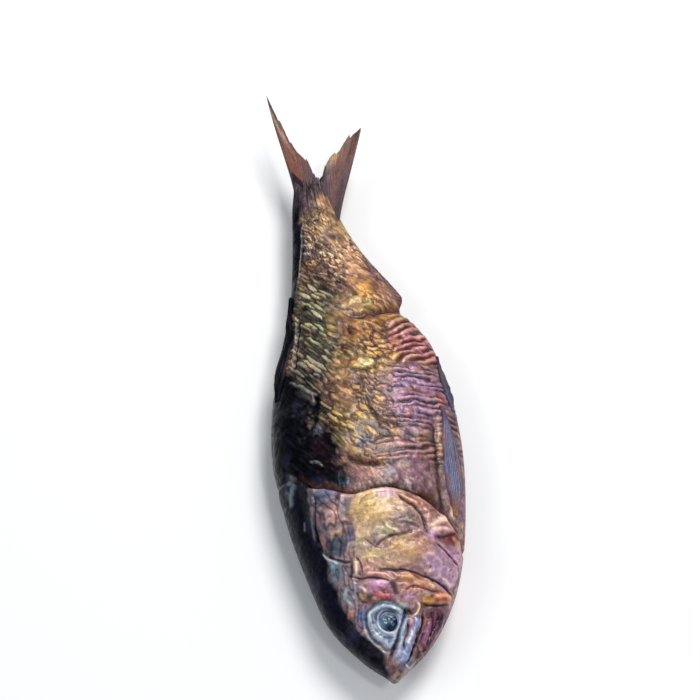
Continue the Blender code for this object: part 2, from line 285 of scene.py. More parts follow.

# Ridges (rise above 0) and grooves on the skin: path of (station, height), width, rise, colour and how much
# of it shows. Dark colours along the grooves are partly painted shade, and some pale ones along the ridges
# are painted highlights.
LINES = (
    # The dark edge of the gold bone, and the brown fold that runs down outside it.
    (((316, 46), (305, 58), (288, 74), (268, 85), (246, 88)), 28, -38, (62, 30, 40), 0.8),
    (((318, 50), (305, 68), (294, 78)), 36, 20, (226, 166, 116), 0.7),
    (((292, 90), (276, 96), (262, 92)), 40, 18, (196, 140, 124), 0.6),
    # The pale fold that forks towards the throat, its pale pink partly a painted highlight.
    (((284, 128), (270, 122), (262, 110), (254, 96)), 52, 36, (244, 200, 184), 0.85),
    (((252, 128), (252, 112), (246, 96)), 40, 26, (240, 196, 192), 0.7),
    (((242, 112), (240, 98), (232, 92)), 44, 16, (196, 148, 190), 0.7),
    (((236, 104), (240, 122), (250, 142)), 22, -26, (96, 30, 40), 0.7),
    # The crease across the cover, between its two gold bones.
    (((222, -6), (234, 10), (241, 26), (240, 44), (244, 60)), 20, -24, (92, 84, 52), 0.7),
    (((240, -18), (226, -6), (221, 6)), 14, -14, (110, 84, 84), 0.6),
    (((300, -19), (310, -14), (317, -4)), 13, -12, (140, 120, 60), 0.6),
    (((296, -14), (296, 0), (301, 4)), 12, -10, (150, 130, 70), 0.5),
    (((262, 20), (252, 28), (247, 40)), 16, 16, (214, 208, 150), 0.6),
    (((262, 46), (258, 60), (252, 74)), 18, -16, (96, 84, 92), 0.6),
    # The groove down the mauve corner, and a pale painted highlight beside it.
    (((226, 98), (212, 110), (196, 125), (176, 135), (160, 132)), 24, -40, (98, 30, 62), 0.8),
    (((170, 128), (150, 118), (140, 122)), 30, -26, (56, 34, 70), 0.7),
    (((166, 100), (156, 106), (148, 112)), 30, 20, (222, 186, 206), 0.7),
    # The folds of the cheek, with painted highlights along some of their ridges.
    (((184, -4), (181, 16), (177, 40), (170, 66), (160, 90), (146, 108), (134, 118)),
     19, -36, (100, 34, 62), 0.75),
    (((178, -52), (172, -34), (170, -16), (165, 2), (159, 12)), 16, -32, (70, 22, 48), 0.8),
    (((180, -26), (176, -8), (174, 6), (166, 14)), 24, 24, (244, 176, 158), 0.8),
    (((168, 24), (165, 44), (156, 66), (150, 84)), 44, 24, (216, 156, 92), 0.55),
    (((154, 80), (150, 84), (146, 82)), 24, 24, (250, 216, 150), 0.8),
    (((143, 36), (150, 52), (144, 72), (140, 92)), 16, -22, (120, 50, 56), 0.7),
    (((134, 86), (136, 100), (133, 112)), 26, 22, (240, 176, 130), 0.7),
    (((119, 60), (119, 84), (122, 106)), 22, -32, (66, 14, 32), 0.85),
    (((160, 14), (150, 18), (136, 22)), 36, -24, (84, 44, 76), 0.75),
    (((148, -16), (137, -6), (135, 10)), 40, 14, (196, 74, 82), 0.7),
    (((160, -22), (156, -8), (155, 6)), 46, 14, (220, 158, 196), 0.7),
    # The upper edge of the gill cover and the folds before it, one with a white painted highlight.
    (((352, -94), (320, -90), (290, -95), (256, -96), (226, -90)), 30, -30, (40, 26, 42), 0.6),
    (((350, -92), (348, -80), (340, -70)), 28, 22, (130, 124, 150), 0.7),
    (((316, -96), (290, -101), (260, -102)), 16, 16, (112, 100, 116), 0.6),
    (((318, -86), (306, -90), (296, -89)), 16, 14, (140, 140, 160), 0.6),
    (((262, -87), (250, -87), (240, -86)), 20, 12, (150, 66, 74), 0.8),
    (((232, -92), (221, -84), (212, -74), (206, -70)), 16, 24, (176, 196, 204), 0.75),
    (((228, -84), (216, -72), (207, -60), (205, -48)), 18, -26, (16, 20, 30), 0.8),
    (((206, -41), (192, -41), (180, -43)), 26, 26, (228, 204, 182), 0.85),
    (((211, -36), (198, -32), (182, -32)), 13, -24, (58, 26, 34), 0.8),
    (((202, -49), (190, -50), (174, -54)), 18, -24, (44, 30, 44), 0.8),
    (((160, -42), (155, -35), (149, -31)), 26, 22, (226, 214, 214), 0.8),
    (((150, -46), (136, -40), (130, -28)), 24, -22, (56, 26, 30), 0.7),
    (((162, -62), (146, -66), (130, -58)), 30, 18, (140, 150, 158), 0.7),
    # The dark gap beside the eye, painted shade, the two plates of the upper jaw and the shut mouth.
    (((108, 44), (104, 32), (98, 26)), 56, -50, (12, 10, 24), 0.95),
    (((112, 34), (94, 25), (72, 14), (50, 4), (30, -5)), 30, -56, (12, 12, 26), 0.95),
    (((122, 53), (115, 56), (107, 53), (98, 43)), 24, 34, (246, 206, 156), 0.9),
    (((98, 36), (92, 38), (84, 36)), 40, 22, (212, 138, 140), 0.8),
    (((86, 26), (70, 20), (50, 13), (30, 4)), 50, 34, (176, 192, 216), 0.85),
    (((90, 34), (74, 30), (60, 24), (44, 20)), 13, -24, (90, 60, 96), 0.8),
    (((100, 52), (82, 44), (62, 34), (40, 22), (24, 10)), 52, 38, (146, 164, 214), 0.85),
    (((78, 36), (66, 33), (52, 27)), 26, 16, (224, 228, 240), 0.8),
    (((108, 64), (86, 58), (62, 45), (40, 32), (20, 18)), 22, -46, (46, 16, 36), 0.85),
    (((26, 20), (20, 26), (28, 34)), 14, 16, (220, 206, 196), 0.6),
    # The lower jaw, its pink lines partly painted highlights.
    (((106, 64), (96, 66), (86, 64)), 30, 22, (142, 80, 68), 0.8),
    (((92, 74), (80, 68), (66, 60), (56, 52)), 36, 26, (160, 92, 140), 0.8),
    (((98, 88), (84, 80), (70, 70), (54, 58)), 16, -22, (50, 14, 36), 0.8),
    (((100, 100), (88, 93), (72, 82), (58, 70)), 18, 18, (176, 126, 146), 0.7),
    # The brown crease of the shoulder, partly painted shade, the dark blue pit beside it, and the curved
    # crease behind it.
    (((402, -28), (392, -12), (385, 8), (380, 34)), 46, -58, (60, 22, 14), 0.95),
    (((362.5, -45), (362, -40), (361.5, -34)), 95, -30, (12, 40, 54), 0.97),
    (((520, 26), (500, 30), (479, 40), (466, 59), (457, 82)), 30, -34, (64, 26, 26), 0.7),
    # The brown gap along the breast fin's upper edge, partly painted shade, and the pale folds at its root
    # and above it.
    (((280, 128), (310, 131), (350, 132), (390, 135), (440, 140), (480, 146)), 62, -26, (66, 26, 20), 0.85),
    (((272, 146), (294, 148), (316, 156), (326, 164)), 40, 30, (232, 190, 146), 0.8),
    (((262, 158), (276, 164)), 34, 20, (216, 178, 120), 0.7),
    (((400, 145), (430, 148), (462, 150), (492, 152)), 44, 14, (216, 164, 124), 0.55),
    # The fold at the vent, its dark brown partly painted shade, and the swelling and creases beside it, with
    # a painted highlight by the creases.
    (((716, 18), (711, 44), (718, 68), (731, 104), (738, 130)), 78, -54, (96, 42, 20), 0.90),
    (((696, 30), (698, 60), (706, 92), (714, 118)), 90, 40, (206, 146, 60), 0.5),
    (((806, 12), (786, 32), (760, 46)), 44, -36, (70, 40, 34), 0.7),
    (((752, 70), (742, 66), (738, 50)), 34, 30, (214, 206, 140), 0.7),
    # The shadow round the lone big scale.
    (((600, 6), (586, 10), (582, 30), (588, 48)), 24, -26, (50, 36, 22), 0.7),
    # The rim and the bottom of the folded back fin's groove, the edge of the black skin, and the ridge along
    # the tail's back edge; their pale grey lines are painted highlights.
    (((740, -76), (692, -83), (645, -92), (607, -100)), 16, 30, (150, 150, 128), 0.8),
    (((735, -70), (690, -77), (645, -86), (607, -94)), 22, -30, (14, 14, 20), 0.8),
    (((588, -106), (571, -91), (554, -77), (542, -69), (526, -71)), 16, 34, (136, 138, 140), 0.8),
    (((1000, -30), (950, -36), (900, -45), (850, -55), (790, -68)), 14, 24, (128, 122, 124), 0.55),
    # Glints in the black skin.
    (((408, -94), (405, -82), (395, -75)), 15, 30, (150, 152, 162), 0.7),
    (((364, -130), (350, -133), (336, -134)), 30, 24, (90, 124, 132), 0.5),
    (((393, -128), (384, -123)), 24, 20, (90, 100, 114), 0.5),
    (((300, -116), (282, -117)), 14, 14, (110, 116, 126), 0.5),
    (((478, -72), (468, -66)), 22, 20, (120, 130, 152), 0.6),
    # Three scales near the tail, with painted glints on them.
    (((927, -40), (920, -33)), 18, 24, (214, 208, 206), 0.7),
    (((902, -42), (896, -32)), 18, 24, (206, 206, 210), 0.7),
    (((880, -43), (876, -28)), 20, 28, (206, 214, 204), 0.7),
    # Two dark pits, near the tail and before the vent.
    (((868, -42), (860, -24)), 30, -30, (20, 18, 22), 0.8),
    (((686, 18), (668, 20)), 34, -30, (22, 18, 26), 0.85),
)

# The lone big scale that stands up on the flank: centre, reach along and across, and rise.
LONE_SCALE = ((0.597, 0.030), (0.0125, 0.0245), 0.0040)

# The two gold bones of the gill cover are smoother than the rest: centre, and where that starts to fade and
# ends.
GOLD_BONES = (((0.290, 0.010), 0.020, 0.050), ((0.212, 0.050), 0.014, 0.036))

EYE = (0.095, 0.001)
EYE_RADIUS = 0.0180
EYE_LENGTHENED = 1.08  # its length along the fish, as a share of its height
EYE_DOME, EYE_SINK, EYE_BURIED = 0.0052, 0.0014, 0.012  # its bulge, the dip in that, and how deep its back is
# The pale skin round the eye, which runs to a point towards the snout.
EYE_SOCKET = (
    (127, -6), (119, 20), (101, 33), (84, 29), (65, 13), (47, -3),
    (62, -20), (84, -33), (106, -35), (121, -24),
)

# The skin's colours, before others are laid over them.
SKIN, HEAD_SKIN, NAPE = (138, 98, 72), (170, 130, 132), (66, 66, 86)
# Patches of colour on the skin: station, height, reach along and across, colour and how much of it shows.
PATCHES = (
    # The root of the tail and the flank before it.
    (1030, -20, 50, 28, (112, 82, 86), 0.9),
    (1020, 12, 35, 10, (190, 128, 90), 0.7),
    (950, 10, 40, 50, (176, 140, 104), 0.7),
    (940, 38, 12, 12, (224, 190, 112), 0.8),
    (885, -15, 30, 30, (124, 98, 86), 0.6),
    (840, 40, 50, 34, (234, 172, 130), 0.85),
    (800, 0, 45, 30, (112, 76, 62), 0.8),
    (780, 75, 28, 26, (232, 162, 64), 0.85),
    (830, 94, 80, 16, (124, 62, 82), 0.8),
    (745, 50, 18, 34, (186, 152, 84), 0.6),
    (755, -35, 50, 28, (122, 124, 96), 0.8),
    # The trunk above the vent.
    (680, -45, 70, 34, (100, 106, 76), 0.9),
    (600, -60, 30, 28, (62, 68, 68), 0.88),
    (570, -84, 30, 20, (62, 64, 62), 0.85),
    (508, -60, 34, 18, (66, 60, 54), 0.85),
    (670, 60, 36, 42, (136, 78, 6), 0.94),
    (695, 105, 18, 20, (208, 152, 88), 0.7),
    (650, 145, 40, 46, (190, 102, 110), 0.92),
    (610, 70, 20, 30, (216, 156, 66), 0.8),
    (600, 15, 30, 30, (176, 140, 52), 0.7),
    (540, 10, 40, 40, (140, 92, 62), 0.8),
    (560, 125, 30, 40, (160, 112, 158), 0.9),
    (500, 120, 50, 45, (172, 118, 156), 0.9),
    (521, 161, 11, 10, (206, 62, 32), 0.9),
    # The dark and blue keel of the belly.
    (620, 182, 50, 10, (66, 44, 66), 0.8),
    (565, 186, 34, 10, (66, 86, 150), 0.85),
    (470, 186, 50, 12, (84, 60, 84), 0.7),
    (380, 178, 60, 14, (98, 66, 92), 0.7),
    # The trunk behind the shoulder.
    (480, -20, 35, 34, (152, 114, 54), 0.85),
    (475, 15, 18, 14, (220, 172, 70), 0.55),
    (440, 100, 30, 50, (130, 80, 80), 0.9),
    (433, 8, 14, 13, (104, 102, 134), 0.75),
    (440, -37, 14, 14, (150, 146, 84), 0.7),
    # The shoulder.
    (366, -12, 20, 22, (174, 114, 118), 0.85),
    (368, 14, 14, 12, (206, 144, 126), 0.8),
    (392, 22, 10, 22, (134, 82, 50), 0.7),
    (366, 48, 12, 8, (122, 126, 148), 0.80),
    (384, 47, 8, 10, (40, 26, 34), 0.8),
    (370, 92, 45, 34, (160, 110, 134), 0.9),
    (353, -62, 16, 26, (14, 12, 18), 0.95),
    (362, -38, 14, 15, (14, 42, 62), 0.97),
    (355, -52, 10, 10, (10, 24, 30), 0.9),
    # Painted shadow of the gill cover's free edge, brown, on the shoulder beside it.
    (300, 112, 30, 14, (104, 48, 28), 0.85),
    (318, 86, 15, 26, (98, 50, 32), 0.85),
    (350, 160, 50, 12, (150, 110, 140), 0.7),
    # The gill cover.
    (294, 2, 32, 36, (216, 178, 112), 0.95),
    (300, 42, 22, 16, (224, 182, 150), 0.85),
    (318, 28, 8, 14, (206, 164, 190), 0.75),
    (266, 54, 14, 22, (118, 94, 88), 0.90),
    (250, 16, 12, 18, (214, 196, 160), 0.8),
    (250, -20, 18, 12, (226, 194, 148), 0.8),
    (221, 42, 16, 20, (208, 160, 98), 0.95),
    (222, 76, 18, 16, (206, 148, 118), 0.85),
    (204, 50, 14, 18, (204, 162, 110), 0.85),
    (211, -8, 10, 22, (230, 204, 144), 0.9),
    (193, -18, 10, 14, (232, 172, 148), 0.9),
    (192, 22, 10, 20, (216, 176, 138), 0.8),
    (186, 60, 10, 26, (170, 120, 118), 0.7),
    (186, 104, 26, 26, (196, 158, 188), 0.95),
    # A painted highlight on the mauve corner.
    (152, 108, 12, 10, (206, 166, 196), 0.8),
    (210, 128, 14, 18, (206, 150, 182), 0.9),
    (240, 94, 10, 12, (206, 152, 176), 0.85),
    (237, 132, 12, 22, (112, 22, 6), 1.0),
    # A painted highlight on the pale fold towards the throat.
    (262, 112, 14, 16, (236, 182, 166), 0.85),
    (290, 84, 14, 12, (176, 116, 92), 0.8),
    (290, -64, 18, 12, (200, 152, 146), 0.9),
    (257, -60, 5, 12, (222, 174, 128), 0.85),
    (236, -62, 18, 16, (54, 76, 96), 0.95),
    (246, -40, 16, 7, (104, 108, 156), 0.8),
    (308, -40, 12, 9, (140, 138, 152), 0.8),
    (334, -72, 14, 20, (112, 110, 144), 0.85),
    (232, -30, 10, 10, (206, 186, 150), 0.6),
    # The cheek, the brow and the snout.
    (196, -74, 16, 12, (100, 136, 152), 0.9),
    (188, -60, 16, 10, (116, 112, 128), 0.7),
    (146, -56, 16, 13, (126, 132, 148), 0.85),
    (143, -34, 7, 8, (186, 138, 64), 0.9),
    (136, -24, 8, 8, (84, 34, 34), 0.8),
    (113, -64, 9, 8, (176, 104, 76), 0.9),
    (106, -40, 14, 10, (84, 114, 172), 0.95),
    (122, 2, 6, 24, (142, 176, 182), 0.8),
    (116, 26, 6, 10, (126, 166, 168), 0.8),
    (156, -10, 10, 16, (214, 154, 190), 0.9),
    (139, -2, 9, 13, (124, 36, 60), 0.95),
    (153, 19, 12, 7, (88, 48, 80), 0.85),
    (165, 46, 10, 28, (176, 118, 88), 0.9),
    (148, 54, 8, 24, (214, 142, 114), 0.85),
    (135, 40, 7, 10, (202, 146, 176), 0.85),
    (126, 74, 7, 12, (226, 162, 54), 0.95),
    (134, 98, 8, 14, (222, 126, 82), 0.9),
    (90, 88, 30, 26, (78, 20, 52), 0.97),
    (56, 62, 22, 16, (92, 38, 66), 0.95),
    (30, 40, 14, 12, (66, 40, 48), 0.9),
    (12, 4, 12, 12, (60, 42, 38), 0.9),
    (40, 20, 24, 10, (158, 170, 204), 0.7),
)
# Patches that show through the soot and at its edge, mottled, two of them pale painted glints.
SOOTED = (
    (425, -64, 36, 20, (50, 25, 24), 0.85),
    (378, -60, 14, 18, (48, 26, 28), 0.75),
    (357, -47, 12, 15, (10, 28, 38), 1.0),
    (356, -36, 6, 6, (56, 96, 122), 1.0),
    # Two pale painted glints in the black skin.
    (372, -132, 18, 6, (104, 124, 132), 0.85),
    (472, -71, 11, 9, (120, 124, 138), 0.85),
    (456, -92, 6, 15, (44, 66, 68), 0.85),
    (520, -98, 24, 22, (46, 44, 64), 0.7),
    (500, -79, 16, 5, (96, 86, 74), 0.8),
    (1045, -52, 50, 30, (60, 54, 70), 1.0),
)
PATCH_SPREAD = 1.18  # how much wider than their reach the patches are laid
SOOT = (12, 18, 36)
# The soot's lower edge along the back: (station, height).
SOOT_EDGE = (
    (0, -2), (30, -10), (50, -20), (70, -34), (100, -54), (140, -70), (180, -81), (220, -90), (260, -96),
    (300, -98), (352, -98), (368, -52), (400, -44), (440, -52), (456, -62), (475, -78), (530, -80),
    (555, -82), (585, -104), (620, -106), (700, -84), (800, -64), (860, -50), (930, -40), (1000, -32),
    (1050, -28),
)

# The shrunken skin breaks up into long cells: distance from one to the next along the fish, their length
# across it at heights from the back to the belly, and the size of the finer cells in them.
CELL_STEP = 0.0128
CELL_LENGTH = ((-0.30, 0.028), (-0.05, 0.028), (0.00, 0.0190), (0.06, 0.0200), (0.10, 0.050), (0.30, 0.055))
FINER_CELLS, FINE_LENGTH = 2.1, 0.0088
CELL_JITTER = 0.9
# How steeply the cells lean towards the snout, at heights from the back to the belly, and what is added
# to that behind the fold at the vent.
LEAN = (
    (-0.30, 0.6), (-0.12, 1.1), (-0.04, 1.1), (0.00, 0.7), (0.04, 0.4), (0.08, 0.1), (0.12, -0.1),
    (0.30, -0.1),
)
TAIL_LEAN = ((-0.30, 0.0), (0.02, 0.0), (0.06, 0.35), (0.12, 0.70), (0.30, 0.70))
VENT_FOLD_HEIGHTS, VENT_FOLD_STATIONS = (0.02, 0.07, 0.13), (0.712, 0.718, 0.738)
# The long wrinkles over the ribs: distance from one to the next, slope towards the tail, stations from and
# to, height from which they run down to the keel, how whole they are, colours of their crests and valleys.
# Their crest colours are partly painted highlights and their valley colours partly painted shade.
FOLDS = (
    (0.0158, 0.52, 0.598, 0.712, 0.096, 0.10, (240, 200, 198), (120, 30, 44)),
    (0.0124, -0.06, 0.445, 0.592, 0.082, -0.14, (200, 170, 198), (78, 40, 70)),
    (0.0130, 0.10, 0.385, 0.430, 0.030, 0.06, (196, 158, 154), (88, 54, 60)),
)
FOLD_FADE = 0.012
# How the wrinkled skin looks from place to place: station, height, reach along and across, colours of the
# crests and of the valleys, and how strongly they stand out.
# The crest colours are partly painted highlights and the valley colours partly painted shade.
TEXTURES = (
    (690, -50, 130, 36, (184, 190, 152), (42, 42, 34), 0.75),
    (770, -30, 60, 30, (176, 164, 132), (50, 42, 36), 0.60),
    (900, 10, 90, 60, (246, 222, 172), (80, 44, 46), 0.70),
    (540, 15, 60, 50, (200, 160, 104), (96, 64, 52), 0.55),
    (655, 52, 60, 40, (220, 166, 76), (96, 52, 26), 0.45),
    (605, 70, 26, 34, (236, 196, 96), (84, 52, 36), 0.55),
    (465, -15, 45, 36, (216, 198, 114), (78, 60, 42), 0.70),
    (508, -58, 40, 22, (144, 134, 108), (30, 28, 30), 0.85),
    (585, -82, 34, 28, (150, 148, 124), (30, 32, 34), 0.75),
    (440, 60, 36, 40, (196, 158, 128), (70, 44, 44), 0.60),
    (362, 30, 30, 80, (226, 184, 178), (96, 52, 60), 0.60),
)
# Warm and cool stains on the skin: colour, how fine they are, level from which they show, and how much of
# them shows on the trunk and on the head.
STAINS = (
    ((206, 150, 66), 44, 0.20, 0.40, 0.00),
    ((150, 84, 104), 40, 0.28, 0.35, 0.15),
    ((96, 100, 128), 52, 0.34, 0.35, 0.25),
    ((66, 34, 34), 66, 0.30, 0.45, 0.00),
    ((240, 200, 170), 70, 0.24, 0.00, 0.40),
    ((84, 44, 60), 125, 0.40, 0.00, 0.60),
)


def summed(table, at):
    """The area under a curve of (place, value), from place 0 to each place."""
    places = np.linspace(-0.3, 0.3, 601)
    values = np.interp(places, *np.array(table).T)
    area = np.concatenate([[0], np.cumsum(0.5 * (values[1:] + values[:-1]) * np.diff(places))])
    return np.interp(at, places, area - np.interp(0, places, area))


def cells(along, across, seed):
    """Cells of irregular shape on a lattice one unit wide.

    For each point: how far inside its cell it is, 0 on the border and about 1 in the middle; the way along to
    the cell's middle; a chance of the cell's own.
    """
    dice = np.random.default_rng(seed)
    shuffled = dice.permutation(256)
    spots = 0.5 + CELL_JITTER * (dice.random((256, 2)) - 0.5)
    chances = dice.random((256, 2))[:, 0]
    cell = np.floor(along).astype(int), np.floor(across).astype(int)
    first, second = np.full(along.shape, 9.0), np.full(along.shape, 9.0)
    to_middle, chance = np.zeros(along.shape), np.zeros(along.shape)
    for steps in itertools.product((-1, 0, 1), repeat=2):
        row, column = cell[0] + steps[0], cell[1] + steps[1]
        index = shuffled[(shuffled[row & 255] + column) & 255]
        x = row + spots[index, 0] - along
        y = column + spots[index, 1] - across
        far = np.hypot(x, y)
        nearer = far < first
        second = np.where(nearer, first, np.minimum(second, far))
        first = np.where(nearer, far, first)
        to_middle = np.where(nearer, x, to_middle)
        chance = np.where(nearer, chances[index], chance)
    return np.clip((second - first) * 1.6, 0, 1), to_middle, chance


# ---- The skin's relief ----

NOMINAL_SIDE = 0.42  # of the section's half thickness to its half height


def arc_table():
    """(places across, arc lengths round the section from its middle) as shares of the half height."""
    across = np.sin(np.linspace(-math.pi / 2, math.pi / 2, 801))
    side = NOMINAL_SIDE * np.maximum(0, 1 - across * across) ** (ROUND_BACK + 0.5 * SHARP_KEEL)
    arc = np.concatenate([[0], np.cumsum(np.hypot(np.diff(across), np.diff(side)))])
    return across, arc - arc[400]


ARC_ACROSS, ARC = arc_table()


def girth_at(station, across, up):
    """Distance round the skin from the flank's middle line, negative towards the back."""
    back, belly = back_height(station), belly_height(station)
    arc = np.interp(across, ARC_ACROSS, ARC)
    under = np.where(across > 0, 2 * ARC[-1] - arc, 2 * ARC[0] - arc)
    return (back + belly) / 2 + (belly - back) / 2 * np.where(up > 0, arc, under)


def rim_station(across):
    """Of the gill cover's free edge."""
    return curve(RIM, across)


def past_soot(station, height):
    """How far towards the belly a place is from the soot's edge."""
    return height - curve(np.array(SOOT_EDGE) / PLACES_PER_LENGTH, station)


def soot_share(station, height, place):
    """How much of the skin is black: along the back, and in a tongue down the flank behind the gill cover."""
    ragged = 0.009 * noise(place * 24, 41) + 0.005 * noise(place * 70, 42)
    tongue = smooth(0.36, 0.40, station) * smooth(0.62, 0.56, station)
    ragged += tongue * (0.034 * noise(place * 26, 105) + 0.016 * noise(place * 75, 106))
    return smooth(0.007, -0.007, past_soot(station, height) + ragged)


class Skin:
    """The skin at points of the flank: what its relief and its colours both need, worked out once."""

    def __init__(self, station, across, up):
        self.station, self.up = station, up
        self.height = height_at(station, across)
        self.side = half_thickness(station, across) * up
        self.place = place = np.stack([self.height, station, self.side], axis=-1)
        self.trunk = smooth(0.335, 0.400, station)
        self.soot = soot_share(station, self.height, place)
        # Lines and patches wander a little, so that none of them is drawn with a ruler.
        self.x = station + (0.0030 * noise(place * 22, 22) + 0.0016 * noise(place * 65, 24))
        self.y = self.height + (0.0030 * noise(place * 22, 23) + 0.0016 * noise(place * 65, 25))
        self.bone = sum(
            smooth(outer, inner, np.hypot(station - at, self.height - height))
            for (at, height), inner, outer in GOLD_BONES
        )
        self.find_cells(girth_at(station, across, up))
        self.find_folds()

    def find_cells(self, girth):
        """The cells of the shrunken skin and the finer ones in them: how deep inside, and a chance."""
        place = self.place
        behind = self.station > np.interp(self.height, VENT_FOLD_HEIGHTS, VENT_FOLD_STATIONS)
        lean = summed(LEAN, girth) + np.where(behind, summed(TAIL_LEAN, girth), 0)
        sway = 0.0075 * noise(place * 10, 11) + 0.0050 * noise(place * 30, 12)
        sway += 0.0034 * noise(place * 85, 19)
        shift = 0.0100 * noise(place * 12, 13) + 0.0060 * noise(place * 40, 14)
        shift += 0.0042 * noise(place * 90, 20)
        along = (self.station + lean + sway) / CELL_STEP
        around = summed([(height, 1 / length) for height, length in CELL_LENGTH], girth + shift)
        self.depth, self.to_middle, self.chance = cells(along, around, 15)
        bend = 0.9 * noise(place * 55, 94)
        around = (girth + shift) / FINE_LENGTH - bend
        self.fine, _, self.fine_chance = cells(along * FINER_CELLS + bend, around, 16)

    def find_folds(self):
        """The long wrinkles over the ribs: the crests of each set, broken up in places, and its reach."""
        place, station, height = self.place, self.station, self.height
        ragged = 0.012 * noise(place * 45, 30)
        sway = 0.0050 * noise(place * 17, 27) + 0.0085 * noise(place * [23, 61, 23], 28)
        sway += 0.0022 * noise(place * 97, 39)
        breaks = noise(place * [30, 52, 30], 96)
        lumps = noise(place * [70, 110, 70], 97)
        self.folds = []
        for step, slope, start, end, edge, whole, _, _ in FOLDS:
            broken = smooth(whole, whole + 0.35, breaks)
            crest = 1 - np.abs(np.cos(math.pi * (station - slope * height + sway) / step)) ** 2.2
            crest = crest + 0.85 * broken * (0.58 + 0.48 * lumps - crest)
            begun = smooth(start - FOLD_FADE, start + FOLD_FADE, station + ragged)
            ended = smooth(end + FOLD_FADE, end - FOLD_FADE, station + ragged)
            shown = smooth(edge - 0.008, edge + 0.012, height + ragged) * (begun * ended)
            self.folds.append((crest, shown))
        self.folded = sum(shown for _, shown in self.folds)
        self.celled = self.trunk * (1 - 0.8 * self.folded)


def cell_rise(skin):
    """The wrinkles and scales of the trunk."""
    amount = 0.0030 * (1 - 0.88 * skin.soot) * smooth(1.045, 0.99, skin.station)
    amount = amount * (0.55 + 0.45 * smooth(0.40, 0.47, skin.station))
    return skin.trunk * amount * skin_ridge(skin) * (1 + 0.5 * skin.folded)


def skin_ridge(skin):
    """From 0 in the wrinkles to 1 on the crests between them."""
    cell = smooth(0.0, 0.85, skin.depth) * (0.25 + 0.75 * skin.chance) * (1 - 0.5 * skin.to_middle)
    fine = smooth(0.0, 0.7, skin.fine) * (0.35 + 0.65 * skin.fine_chance)
    finer = 0.45 * smooth(0.82, 0.90, skin.station)
    ridge = np.clip((0.86 - finer) * cell + (0.26 + finer) * fine, 0, 1)
    calm = 0.80 * smooth(-0.45, 0.35, noise(skin.place * 13, 38)) * smooth(-0.05, 0.0, skin.height)
    lumps = 0.55 + 0.40 * noise(skin.place * [70, 85, 70], 95)
    ridge = ridge + calm * (lumps - ridge)
    for crest, shown in skin.folds:
        ridge = ridge + shown * (crest * (0.82 + 0.25 * fine) - ridge)
    return ridge


def trunk_rise(skin):
    """The trunk's relief, as a share of the standard length."""
    station, height, place = skin.station, skin.height, skin.place
    lumps = 0.0034 * noise(place * 11, 16) + 0.0018 * noise(place * 28, 17)
    puckers = 0.0008 * rough_noise(place * 80, 18)
    hollow = -0.010 * bump(station, 0.50, 0.08) * bump(height, -0.090, 0.035)
    islet = LONE_SCALE[2] * smooth(1.15, 0.85, lone_scale(skin)[2]) * (skin.up > 0)
    crumple = 0.0014 * (np.abs(noise(place * 36, 26)) - 0.3) * (1 - skin.trunk)
    return cell_rise(skin) + lumps + puckers + hollow + islet + crumple


def lone_scale(skin):
    """(way along it, way across it, ragged way out from its middle) as shares of the lone scale's reach."""
    centre, reach, _ = LONE_SCALE
    along, across = (skin.x - centre[0]) / reach[0], (skin.y - centre[1]) / reach[1]
    return along, across, np.hypot(along, across) + 0.22 * noise(skin.place * 95, 101)


def head_rise(skin):
    """The bones, folds and grooves of the head, as a share of the standard length."""
    place = skin.place
    total = 0.0018 * noise(place * 14, 61)
    for outline, *relief in PLATES:
        rise, edge, dome = np.array(relief) / RELIEF_PER_LENGTH
        depth = inside(outline, skin.x, skin.y)
        total += rise * smooth(-edge, edge, depth) + dome * smooth(0, 0.035, depth)
    wrinkled = 1 - np.abs(noise(place * [48, 80, 48], 62)) * 2.2
    fine = 0.0011 * np.clip(wrinkled, 0, 1) + 0.0007 * rough_noise(place * 90, 63)
    total += fine * (1 - 0.6 * skin.soot) * (1 - 0.55 * skin.bone)
    pores = smooth(0.55, 0.75, noise(place * 130, 64))
    total -= 0.0007 * pores
    socket = inside(EYE_SOCKET, skin.x, skin.y)
    total += 0.0026 * bump(socket, 0.005, 0.005) - 0.0020 * bump(socket, -0.003, 0.003)
    off = eye_distance(skin.station, skin.height)
    total += 0.0010 * bump(off, 1.16, 0.10) - 0.0070 * smooth(1.05, 0.85, off)
    return total


def eye_distance(station, height):
    """From the eye's centre, as a share of its radius."""
    return np.hypot(station - EYE[0], (height - EYE[1]) * EYE_LENGTHENED) / EYE_RADIUS


def line_rise(skin):
    """The ridges and grooves, broken here and there."""
    total = np.zeros(skin.station.shape)
    for number, (path, width, rise, _, _) in enumerate(LINES):
        share = line_share(skin, number, path, width / RELIEF_PER_LENGTH)
        total += rise / RELIEF_PER_LENGTH * share
    return total


def line_share(skin, number, path, width):
    """How much of a line shows at each point: 1 on the line, fading beside it and towards its ends."""
    off, share = off_path(path, skin.x, skin.y)
    near = off < 4 * width
    shown = np.zeros(off.shape)
    swell = 1 + 0.35 * noise(skin.place[near] * 45, 70 + number)
    taper = smooth(-0.02, 0.14, share[near]) * smooth(1.02, 0.86, share[near])
    shown[near] = bump(off[near], 0, width * swell) * (0.30 + 0.70 * taper) * (skin.up[near] > 0)
    return shown


def lay(colour, paint, share):
    """Paints a colour from 0 to 255 over the linear colours, by a share."""
    colour += (srgb(*paint) - colour) * share[..., None]


def painted(shape, base, coats):
    """The base colour on a grid of points of this shape, with coats of (colour, share) laid over it."""
    colour = np.broadcast_to(srgb(*base), shape).copy()
    for paint, share in coats:
        lay(colour, paint, share)
    return colour


def lay_patches(colour, skin, patches, mottle=1.0):
    """Paints patches with soft edges, all of them weakened by the mottle."""
    for *measures, paint, share in patches:
        at, across, reach, width = np.array(measures) / PLACES_PER_LENGTH
        along, aside = (skin.x - at) / (PATCH_SPREAD * reach), (skin.y - across) / (PATCH_SPREAD * width)
        lay(colour, paint, mottle * share * np.exp(-((along**2 + aside**2) ** 1.5)))


